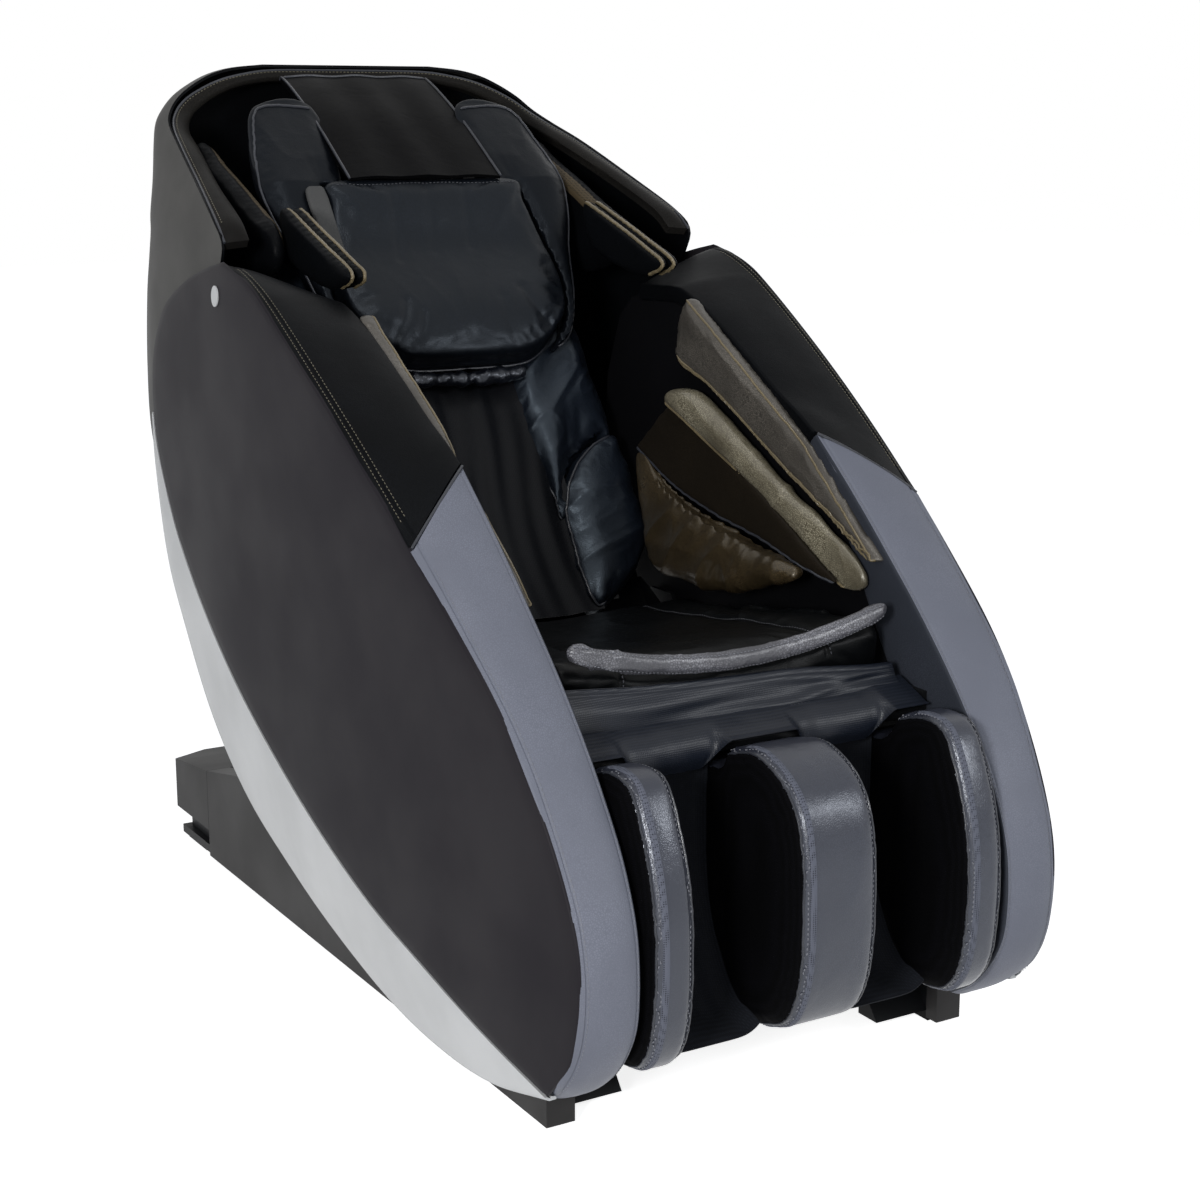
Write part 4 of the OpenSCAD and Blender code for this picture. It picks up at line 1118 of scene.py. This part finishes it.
# Side profile of the cover flap
COVER_TOP = rows([328, 1056], [440, 1131], [520, 1176], [571, 1199], [582, 1196])


def head_cover():
    """Flap over the head pad: the side profile carried across, falling 3 mm to its edges, with
    three soft upright furrows."""
    top = spline(COVER_TOP, 70)
    v = np.linspace(0, 1, 70)[None]
    u = np.linspace(-1, 1, 61)[:, None]
    half = 121 + 2 * (1 - v)
    n = slope(top)[:, ::-1] * rows(-1, 1)
    rise = 1.6 - 3.2 * np.abs(u) ** 6 + 1.2 * np.cos(u * 9) * (1 - u ** 2)
    outer = np.stack([u * half, top[None, :, 0] + n[None, :, 0] * rise,
                      top[None, :, 1] + n[None, :, 1] * rise], -1)
    deep = 5 + 4 * ease(np.arange(70) / 12)[:, None]
    return shell("head_cover_flap", outer, outer - (at_x(0, n) * deep)[None], 60)


flap = head_cover()
t = np.linspace(0, 1, 50)
edge = np.column_stack([-(123 - 2 * t), spline(COVER_TOP, 50)[(t * 49).astype(int)]])
edge_top = np.stack([np.linspace(-121, 121, 50), np.full(50, 571), np.full(50, 1199)], 1)
edge = np.vstack([edge, edge_top[1:-1], edge[::-1] * rows(-1, 1, 1)])
piece(welt("head_cover_welt", flap, edge, 2.0), PIPING, "backrest", "head_leather")
piece(flap, LEATHER_COVER, "backrest", "head_leather", "head_cover", fill=0.9)

LOBE_EDGE = rows([119, 836], [207, 838], [238, 762], [247, 690], [241, 634], [222, 569],
                 [204, 490], [178, 428], [150, 403], [147, 409], [170, 437], [184, 480],
                 [186, 527], [178, 582], [166, 642], [153, 682], [119, 686])


def lobe():
    """Side lobe of the head pad, which hugs the pillow. Above it the face draws back to a fifth
    of its height, level with the cover."""
    obj = pad_form("head_lobe_left", LOBE_EDGE, 6, 46, 15, back_pad, 170)
    obj = inflate(obj, voxel=5, pressure=4, cap=6, frames=18,
                  pin=near_lines(back_path(LOBE_EDGE, 8, 160, True), reach=6))
    p = points_of(obj)
    _, y, up = back_of(p)
    back = -y * 0.8 * np.clip((up - 684) / 158, 0, 1)
    move_points(obj, p + back[:, None] * rows(0, math.cos(LEAN), -math.sin(LEAN)))
    return obj


head = lobe()
folded(head, 52, 1.6, 74.0, slanted(0.2, 0.5, 1))
shade(head, 70)
outer_line = back_path(LOBE_EDGE[:9], 34, 150)
pair(welt("head_lobe_welt_left", head, outer_line, 1.9), PIPING, "backrest", "head_leather",
     "head_lobe_welt")
pair(head, LEATHER_LOBE, "backrest", "head_leather", "head_lobe", both=("head_pad",), fill=0.8)

# Soft grey pull tab between the lobe and the pillow, on the sitter's right
TAB_EDGE = rows([-190, 664], [-172, 671], [-160, 664], [-157, 610], [-156, 560], [-162, 545],
                [-178, 560], [-188, 610])
tab = pad_form("pillow_tab", TAB_EDGE, 50, 60, 4.5, back_pad, 90)
piece(smoothed(remeshed(tab, 3)), SUEDE, "backrest", "head_leather", fill=0.5)

WING_EDGE = rows([236, 930], [228, 985], [320, 1035], [430, 1080], [510, 1106], [540, 1060],
                 [500, 960], [380, 900])
wing = pad_form("wing_pad_left", WING_EDGE, 268, 288, 9, across, 110)
wing = inflate(wing, voxel=5.5, pressure=3, cap=8, frames=18)
upper_edge = spline(WING_EDGE[1:5], 80)
strip = ribbon("wing_strip_left", wing, at_x(270, upper_edge + rows(2, -2)),
               at_x(260, upper_edge + rows(14, -22)), 1.2)
shade(wing, 70)
pair(strip, MESH_BROWN, "backrest", "back_leather", "wing_strip")
pair(wing, LEATHER_CAP, "backrest", "back_leather", "wing_pad", both=("wing_pads",), fill=0.7)

SHOULDER_EDGE = rows([262, 1018], [150, 984], [62, 950], [44, 936], [58, 924], [120, 915],
                     [230, 940], [266, 978])
# The shoulder welts' light warm colour is a painted highlight along the pads' edges
for k, x in enumerate((228, 246)):
    pad = pad_form(f"shoulder_pad_{k}_left", SHOULDER_EDGE, x + 1, x + 12, 5, across, 110)
    pad = inflate(pad, voxel=5, pressure=3, cap=3, frames=14)
    shade(pad, 70)
    path = at_x(x + 0.5, spline(np.vstack([SHOULDER_EDGE[:5], [[84, 917]]]), 120))
    pair(welt(f"shoulder_welt_{k}_left", pad, path, 2.6), PIPING_WARM_AND_PAINTED_HIGHLIGHT, "backrest",
         "back_leather", f"shoulder_welt_{k}")
    pair(pad, LEATHER_CAP, "backrest", "back_leather", f"shoulder_pad_{k}",
         both=("shoulder_pads",), fill=0.6)


# ---------------------------------------------------------------- arms

PAD_TOP = rows([4, 896], [-79, 849], [-185, 785], [-278, 726], [-362, 659], [-420, 606],
               [-446, 584])
PAD_LOW = rows([30, 845], [22, 802], [-55, 768], [-91, 751], [-139, 727], [-200, 695], [-262, 664],
               [-340, 628], [-418, 590])
ROLL_EDGE = rows([26, 741], [-17, 721], [-90, 687], [-173, 649], [-258, 604], [-332, 564],
                 [-380, 547], [-407, 552], [-412, 568], [-386, 588], [-331, 618], [-256, 654],
                 [-172, 698], [-105, 733], [-34, 764], [20, 762])
WALL_TOP = rows([112, 672], [30, 738], [-17, 730], [-90, 698], [-173, 663], [-258, 620],
                [-332, 579], [-376, 558])
WALL_LOW = rows([114, 666], [24, 626], [-81, 599], [-212, 579], [-289, 562], [-340, 554],
                [-374, 550])
HIP_EDGE = rows([-322, 556], [-289, 563], [-212, 578], [-81, 598], [24, 626], [98, 658],
                [108, 640], [58, 562], [0, 502], [-120, 496], [-215, 512], [-312, 544])


def wedge(name, top, low, x_top, x_low, x_back, bulge):
    """Pad between two edges of the side plane: its face runs straight from the top edge to the
    low one, x changing evenly, less a half wave of bulge; its back is flat."""
    a, b = spline(top, 150), spline(low, 150)
    s = np.linspace(0, 1, 26)
    at = a[:, None] * (1 - s)[None, :, None] + b[:, None] * s[None, :, None]
    x_top = x_top(a[:, :1])
    x = np.broadcast_to(x_top + (x_low - x_top) * s - bulge * np.sin(np.pi * s), at.shape[:2])
    face = np.concatenate([x[..., None], at], -1)
    back = face[:, ::-1][:, ::5].copy()
    back[..., 0] = x_back
    return loft(name, np.concatenate([face, back], 1), angle=60)


def edge_of(a, x, inset):
    """Path along an edge of the side plane, moved by an inset towards +z or, if negative, -z."""
    e = spline(a, 140)
    t = slope(e)
    n = np.stack([-t[:, 1], t[:, 0]], 1)
    n *= np.sign(n[:, 1:2]) * np.sign(inset)
    return at_x(x, e + n * abs(inset))


def forearm(along, across):
    """Frame in the side plane with one axis down the forearm, drawn out along it."""
    return lambda p: np.stack([p[:, 0], (p[:, 1] * 0.85 + p[:, 2] * 0.53) * along,
                               (p[:, 2] * 0.85 - p[:, 1] * 0.53) * across], 1)


pad = wedge("arm_upper_left", PAD_TOP, PAD_LOW, lambda y: 241 + 15 * ease((-170 - y) / 130), 241,
            260.5, 2)
pad = inflate(pad, voxel=5, pressure=4, cap=4, frames=18)
folded(pad, 44, 4.6, 16.0, forearm(0.35, 1.1), 2)
for inset in (2, 9):
    seam(pad, edge_of(PAD_LOW, 238, inset), 1.2, 2.2)
shade(pad, 70)
for k, inset in enumerate((2.5, 9)):
    pair(welt(f"arm_welt_{k}_left", pad, edge_of(PAD_LOW[1:], 238, inset), 1.6, 0.4),
         PIPING_WARM_AND_PAINTED_HIGHLIGHT, "seat", "arm_leather", f"arm_welt_{k}")
# The top welt's light warm colour is a painted highlight along the pad's upper edge
pair(welt("arm_top_welt_left", pad, edge_of(PAD_TOP, 240, -3), 1.6, 0.4), PIPING_WARM_AND_PAINTED_HIGHLIGHT, "seat",
     "arm_leather", "arm_top_welt")
pair(pad, LEATHER_ARM, "seat", "arm_leather", "arm_upper", "arm_upper_pad", fill=0.7)

pad = pad_form("arm_roll_left", ROLL_EDGE, 216, 256, 17, across, 150)
pad = inflate(pad, voxel=4.5, pressure=5, cap=5, frames=18)
# The roll stands out less from the wall towards the front
p = points_of(pad)
p[:, 0] = 257 - (257 - p[:, 0]) * (1 - (40 - p[:, 1]) * 0.00147)
move_points(pad, p)
folded(pad, 34, 2.6, 31.0, forearm(0.4, 1))
# Crumples over its front half
q = points_of(pad)
crumple = (1 - np.abs(noise(forearm(0.8, 0.8)(q) + 5, 34))) ** 2 - 0.3
move_points(pad, q + normals_of(pad) * (crumple * 4.4 * ease((-130 - q[:, 1]) / 110))[:, None])
shade(pad, 70)
roll_top = ROLL_EDGE[:7]
roll_line = np.column_stack([212 + (40 - roll_top[:, 0]) * 0.066, roll_top - rows(0, 2)])
pair(welt("roll_welt_left", pad, spline(roll_line, 150), 1.7), PIPING_WARM_AND_PAINTED_HIGHLIGHT, "seat",
     "arm_leather", "roll_welt")
# The roll's golden-grey colour is a painted warm reflection on dark leather
pair(pad, LEATHER_PAINTED_GOLD_REFLECTION, "seat", "arm_leather", "arm_roll", "arm_lower_pad", fill=0.8)

wall = wedge("arm_wall_left", WALL_TOP, WALL_LOW, lambda y: 230, 229, 236, 1.0)
wall = inflate(wall, voxel=5, pressure=3, cap=2, frames=14)
folded(wall, 60, 1.0, 3.0, forearm(0.5, 1))
shade(wall, 70)
pair(welt("arm_wall_welt_left", wall, edge_of(WALL_LOW, 226, 2), 1.8, 0.8), PIPING, "seat",
     "arm_leather", "arm_wall_welt")
pair(wall, LEATHER_BROWN, "seat", "arm_leather", "arm_wall", fill=0.7)

pad = pad_form("arm_bolster_left", HIP_EDGE, 194, 228, 14, across, 140)
pad = inflate(pad, voxel=5.5, pressure=4, cap=6, frames=18)
plain = points_of(pad)
folded(pad, 66, 11.0, 87.0, lambda p: p @ rows([1, 0, 0], [0, 0.6, 0.8], [0, -0.5, 0.7]), 2)
# It stands out less from the wall with height, and its folds fade where it is thin
p = points_of(pad)
reach = (230 - np.maximum(188, 188 + (p[:, 2] - 548) * 0.325)) / 42
p = plain + (p - plain) * np.clip(1.5 * reach - 0.3, 0, 1)[:, None]
p[:, 0] = 229 - (229 - p[:, 0]) * np.clip(reach, 0.12, 1)
move_points(pad, p)
shade(pad, 70)
# The bolster's golden-brown colour is a painted warm reflection on dark leather
pair(pad, LEATHER_PAINTED_TAN_REFLECTION, "seat", "arm_leather", "arm_bolster", fill=0.8)


# ---------------------------------------------------------------- seat

SEAT_TOP = rows([-470, 490], [-440, 506], [-300, 490], [-150, 470], [-40, 458], [-16, 452])


def seat_form():
    """Seat cushion: its side profile carried across, the top lifted 26 mm towards both sides by
    the square of the place across, and drawn in at its two ends by a quarter round."""
    top = spline(SEAT_TOP, 60)
    under = spline(rows([-12, 440], [-14, 386], [-390, 386], [-404, 412], [-456, 412]), 40)
    outline = np.vstack([top, under])
    centre = rows(-240, 446)
    u = np.sin(np.linspace(-np.pi / 2, np.pi / 2, 70))
    rings = []
    for s in u:
        edge = 1 - max(0.0, abs(s) * 232 - 214) ** 2 / 18 ** 2
        shrink = 1 - 18 * (1 - math.sqrt(max(edge, 0))) / 180
        q = centre + (outline - centre) * rows(1 - 0.02 * (1 - shrink) * 10, shrink)
        lift = np.where(np.arange(len(q)) < len(top), 26 * s * s, 0) * shrink
        rings.append(np.stack([np.full(len(q), s * 232), q[:, 0], q[:, 1] - 6 + lift], 1))
    return loft("seat_pad", np.stack(rings), angle=70)


hems = [at_x(x, spline(SEAT_TOP, 60)) for x in (-150, 150)]
cushion = inflate(seat_form(), voxel=6, pressure=4, cap=12, frames=20,
                  pin=near_lines(*hems, reach=6))
for line in hems:
    seam(cushion, line, 2.2, 3.2)
# Raised crease at each side
crease = rows([188, -236, 506], [204, -300, 520], [220, -371, 540])
for hand in (1, -1):
    seam(cushion, spline(crease * rows(hand, 1, 1), 60), -6.0, 6.0)
folded(cushion, 70, 3.4, 9.0, lambda p: p * rows(0.7, 1, 1))
shade(cushion, 70)
for k, line in enumerate(hems):
    piece(sewing(f"seat_stitches_{k}", cushion, line, 5, 0.5), THREAD_DARK, "seat",
          "seat_leather")
piece(cushion, LEATHER_SEAT, "seat", "seat_leather", "seat_cushion", fill=0.8)


def front_roll():
    """Roll along the seat's edge: circles squashed across, dented along two seams, with gathers
    of ridged noise that grow towards its ends, most of all at the sitter's right."""
    u = np.linspace(-1, 1, 320)[:, None]
    a = np.linspace(0, 2 * np.pi, 33)[None, :-1]
    x = u * 230 + 0 * a
    base = np.stack([x, 0 * x - 481.0, 505 + 37 * u ** 2 + 0 * a], -1)
    probe = np.stack([x * 1.0, np.cos(a) * 12 + 0 * x, np.sin(a) * 12 + 0 * x], -1)
    ridge = (1 - np.abs(noise(probe * rows(0.8, 1.5, 1.5), 17))) ** 2.6
    gather = 0.5 + 1.5 * ease((-u - 0.5) / 0.3) + 0.6 * ease((u - 0.8) / 0.2)
    flat = 1 - 0.16 * np.exp(-((np.abs(a - np.pi) - 1.05) / 0.14) ** 2)
    r = 0.97 * flat + ridge * gather * 0.16 - 0.03
    r = r * np.sqrt(np.clip(1 - np.clip((np.abs(u) - 0.9) / 0.1, 0, 1) ** 2, 0.05, 1))
    ring = base + np.stack([0 * r, np.cos(a) * r * 9.4, np.sin(a) * r * 12.6], -1)
    return loft("seat_roll", ring, angle=70)


roll = piece(front_roll(), LEATHER_ROLL, "seat", "roll_leather", "seat_front_roll", fill=0.9)
for k, (dy, dz) in enumerate(((-6, 9.5), (-6, -9.5))):
    u = np.linspace(-1, 1, 120)
    line = np.stack([u * 222, 0 * u - 481 + dy, 505 + 37 * u ** 2 + dz], 1)
    piece(sewing(f"roll_stitches_{k}", roll, line, 0, 0.5, pitch=5.2), THREAD, "seat",
          "roll_leather")


APRON_TOP = rows([-236, 499], [-200, 496], [-143, 491], [-60, 487], [20, 485], [86, 483],
                 [150, 477], [205, 472], [236, 471])


def apron():
    """Cloth below the seat's edge: it turns over a hem at its top, which dips to one side, and
    falls to a double hem, with slanting folds that are sines of the drop, shifted by noise."""
    count, drop = 170, 64
    top = spline(APRON_TOP, count)
    v = np.linspace(0, 1, drop)[None]
    x = np.broadcast_to(top[:, :1], (count, drop))
    z = top[:, 1:] * (1 - v) + 436 * v
    y = np.broadcast_to(-488 - 12 * np.sin(np.pi * v * 0.62) - 4 * v, x.shape)
    u = x / 236
    p = np.stack([x, y, z], -1)
    drift = noise(p * rows(0.45, 1, 1), 70)
    fold = 2.4 * np.sin(v * 7 + drift * 2.4 + u * 2) + 0.5 * np.sin(v * 16 + drift * 3 - u * 3)
    pull = 3.2 * np.exp(-((z - 446 - 26 * ease((u - 0.2) / 0.8)) / 7) ** 2) * ease((u + 0.1) / 0.5)
    y = y - (fold + pull) * np.sin(np.pi * np.clip(v, 0, 1)) ** 0.7
    y = y + 1.2 * np.exp(-((v - 0.88) / 0.025) ** 2) + 1.0 * np.exp(-((v - 0.1) / 0.03) ** 2)
    face = np.stack([x, y, z], -1)
    hem = np.stack([np.repeat(x[:, :1], 3, 1), y[:, :1] + np.array([[12, 8, 3]]),
                    z[:, :1] + np.array([[-9, -2, 1.2]])], -1)
    face = np.concatenate([hem, face], 1)
    return shell("seat_apron", face, face + rows(0, 1.6, -0.4))


skirt = piece(apron(), CLOTH_APRON, "seat", "apron_cloth", "front_apron")
for k, v in enumerate((0.84, 0.93)):
    line = np.stack([APRON_TOP[:, 0] * 0.985, 0 * APRON_TOP[:, 0] - 512,
                     APRON_TOP[:, 1] * (1 - v) + 436 * v], 1)
    piece(sewing(f"apron_stitches_{k}", skirt, spline(line, 120), 0, 0.3, pitch=5.2, width=0.5),
          THREAD_DARK, "seat", "apron_cloth")


CHANNEL_X = 122  # middle of a calf channel, across the chair
FLAP_OVER = rows([-490, 452], [-504, 447], [-518, 441], [-530, 436], [-541, 431], [-550, 428.5])
FLAP_DOWN = rows([-490, 452], [-505, 446], [-521, 437], [-531, 424], [-533, 408], [-524, 392])


def leg_flap():
    """Cloth between the seat and the leg rest: over the fins it lies on their tops, 3 mm higher
    at the side fins, and in the calf channels it drops round the hinge tube. The two profiles
    are mixed by the place across, and small ripples are a sine shifted by noise."""
    drop = 60
    x = np.linspace(-248, 248, 220)
    over, down = spline(FLAP_OVER, drop), spline(FLAP_DOWN, drop)
    channel = ease((76 - np.abs(np.abs(x) - CHANNEL_X)) / 30)[:, None, None]
    line = over[None] * (1 - channel) + down[None] * channel
    p = np.stack([np.broadcast_to(x[:, None], line.shape[:2]), line[..., 0], line[..., 1]], -1)
    p[..., 2] += (1 - channel[..., 0]) * 3 * ease((np.abs(x) - 150) / 30)[:, None]
    t = np.linspace(0, 1, drop)[None]
    ripple = (1.3 * np.sin(x[:, None] / 23 + 2 * t) + noise(p * rows(1, 1, 0.5), 24) * 1.6)
    p[..., 1] -= ripple * np.sin(np.pi * t) ** 0.8
    return shell("leg_flap", p, p + rows(0, 1.0, -1.2))


flap = paint(leg_flap(), CLOTH_APRON)
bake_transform(flap)


# ---------------------------------------------------------------- leg rest

CENTRE_FIN = rows([-540, 420], [-600, 434], [-654, 418], [-692, 382], [-708, 330], [-712, 270],
                  [-711, 215], [-702, 160], [-676, 114], [-625, 92])
SIDE_FIN = rows([-550, 428], [-600, 442], [-645, 434], [-673, 390], [-698, 318], [-706, 240],
                [-697, 150], [-668, 102], [-625, 88])
FIN_BACK = rows([-580, 90], [-545, 128], [-528, 160], [-500, 178], [-487, 200], [-487, 392],
                [-530, 396])


def leg_fin(name, edge, x0, x1, shift):
    """Padded fin: its side profile carried across and blown up, held at its two long seams."""
    outline = np.vstack([spline(edge, 70), FIN_BACK])
    form = pad_form(name, shrunk(resample(outline, 130, True), 3), x0 + 1, x1 - 1, 19, across,
                    170)
    seams = [at_x(x, spline(edge, 90)) for x in (x0 + 6, x1 - 6)]
    pinned = near_lines(*[q + rows(0, 5, 0) for q in seams], reach=6)
    obj = inflate(form, voxel=5.5, pressure=3.5, cap=4.5, frames=18,
                  pin=lambda p: np.maximum(pinned(p), ease((p[:, 1] + 560) / 30)))
    for q in seams:
        seam(obj, q, 2.2, 3.0)
    folded(obj, 70, 1.2, shift, lambda p: p * rows(1, 1, 0.6))
    shade(obj, 70)
    return obj, seams


def dress_fin(obj, name, node, edge, x0, x1, seams):
    """Cloth on the fin's two sides, a perforated strip along its seam on the sitter's right,
    and stitches and piping along both seams."""
    def sides(centre, normal):
        gap = np.minimum(np.abs(centre[:, 0] - x0), np.abs(centre[:, 0] - x1))
        return (gap < 9) & (np.abs(normal[:, 0]) > 0.6)

    front = spline(edge, 90)[6:]
    strip = ribbon(name + "_strip", obj, at_x(x0 + 9, front), at_x(x0 + 21, front), 0.9)
    piece(strip, MESH_SLATE, "leg_unit", "fin_leather")
    for k, q in enumerate(seams):
        piece(sewing(f"{name}_stitches_{k}", obj, q, 0, 0.4, pitch=6), THREAD, "leg_unit",
              "fin_leather")
        piece(welt(f"{name}_welt_{k}", obj, q + rows(-3 if k == 0 else 3, 0, 0), 1.5, 0.2),
              PIPING, "leg_unit", "fin_leather")
    piece(obj, LEATHER_FIN, "leg_unit", "fin_leather", node, fill=0.8, second=CLOTH_LINING,
          chosen=sides)


middle, seams = leg_fin("leg_fin_middle", CENTRE_FIN, -58, 58, 13)
dress_fin(middle, "fin_middle", "leg_fin_centre", CENTRE_FIN, -58, 58, seams)
left, seams = leg_fin("leg_fin_left_pad", SIDE_FIN, 188, 251, 14)
right = mirrored(left, "leg_fin_right_pad")
dress_fin(left, "fin_left", "leg_fin_left", SIDE_FIN, 188, 251, seams)
dress_fin(right, "fin_right", "leg_fin_right", SIDE_FIN, -251, -188,
          [q * rows(-1, 1, 1) for q in seams[::-1]])

LINING_LINE = rows([-497, 392], [-497, 300], [-505, 230], [-527, 168], [-566, 114], [-625, 92])


def lining(hand):
    """Cloth of a calf channel on the sitter's left: the curved back wall with upright folds,
    turned forwards at both sides where it is sewn to the fins. hand shifts its folds."""
    line = spline(LINING_LINE, 90)
    n = np.stack([slope(line)[:, 1], -slope(line)[:, 0]], 1)
    n = n * np.sign(n[:, :1] * -1 + 1e-9)
    u = np.linspace(-1, 1, 70)[:, None]
    v = np.linspace(0, 1, 90)[None]
    x = CHANNEL_X + 0.5 + u * 66
    fold = 1.2 * np.sin(u * 7 + 1.4 * np.sin(v * 4) + hand) + 0.6 * np.sin(u * 15 + v * 3)
    rise = fold * (1 - u ** 4) * np.clip((1 - v) * 6, 0, 1) + 16 * np.abs(u) ** 7
    y = line[None, :, 0] + n[None, :, 0] * rise
    z = line[None, :, 1] + n[None, :, 1] * rise
    face = np.stack([x + 0 * y, y, z], -1)
    back = np.stack([x + 0 * y, y - n[None, :, 0] * 1.6, z - n[None, :, 1] * 1.6], -1)
    return shell("calf_lining_left", face, back)


left_form, right_form = lining(1), lining(-1)
right = mirrored(right_form, "calf_lining_right_side")
bpy.data.objects.remove(right_form)
for obj in (left_form, right):
    piece(obj, CLOTH_SLATE, "leg_unit", "lining_cloth", "leg_lining")


# ---------------------------------------------------------------- light and floor

def direct_rays(tree):
    """One for camera, mirror and glass rays, which see plain white, and zero for the rest."""
    path = add(tree, "LightPath").outputs
    seen = add(tree, "Math", {0: path["Is Camera Ray"], 1: path["Is Glossy Ray"]},
               operation="MAXIMUM").outputs[0]
    return add(tree, "Math", {0: seen, 1: path["Is Transmission Ray"]},
               operation="MAXIMUM").outputs[0]


world = bpy.data.worlds.new("studio")
world.use_nodes = True
scene.world = world
tree = world.node_tree
tree.nodes.clear()
fill = add(tree, "Background", {"Color": (0.9, 0.95, 1, 1), "Strength": 0.27})
white = add(tree, "Background", {"Color": (1, 1, 1, 1), "Strength": 1.0})
mixed = add(tree, "MixShader", {0: direct_rays(tree), 1: fill.outputs[0],
                                2: white.outputs[0]})
add(tree, "OutputWorld", {"Surface": mixed.outputs[0]})

floor_mesh = bpy.data.meshes.new("floor")
floor_mesh.from_pydata([(-14, -14, 0), (14, -14, 0), (14, 14, 0), (-14, 14, 0)], [],
                       [(0, 1, 2, 3)])
floor = bpy.data.objects.new("floor", floor_mesh)
scene.collection.objects.link(floor)
mat = bpy.data.materials.new("white_paper")
mat.use_nodes = True
tree = mat.node_tree
tree.nodes.clear()
paper = add(tree, "BsdfDiffuse", {"Color": (0.86, 0.86, 0.86, 1)})
glow = add(tree, "Emission", {"Color": (1, 1, 1, 1), "Strength": 0.84})
both_ways = add(tree, "AddShader", {0: paper.outputs[0], 1: glow.outputs[0]})
mixed = add(tree, "MixShader", {0: direct_rays(tree), 1: paper.outputs[0],
                                2: both_ways.outputs[0]})
add(tree, "OutputMaterial", {"Surface": mixed.outputs[0]})
paint(floor, mat)


def lamp(name, place, aim, size, power, tint=(1, 1, 1)):
    """Square soft box that faces a point."""
    data = bpy.data.lights.new(name, "AREA")
    data.shape = "RECTANGLE"
    data.size, data.size_y = size
    data.energy = power
    data.color = tint
    obj = bpy.data.objects.new(name, data)
    scene.collection.objects.link(obj)
    towards = unit(rows(*aim) - rows(*place))
    obj.location = place
    obj.rotation_euler = (math.acos(-towards[2]), 0,
                          math.atan2(towards[1], towards[0]) - math.pi / 2)


lamp("key", (-2.8, -2.7, 1.4), (0, -0.1, 0.6), (0.7, 0.7), 90)
lamp("overhead", (-0.6, -0.9, 3.2), (0, 0, 0.7), (0.7, 0.7), 12)
lamp("front", (1.7, -2.9, 1.9), (0, -0.2, 0.6), (0.8, 0.8), 28, (0.95, 0.97, 1))
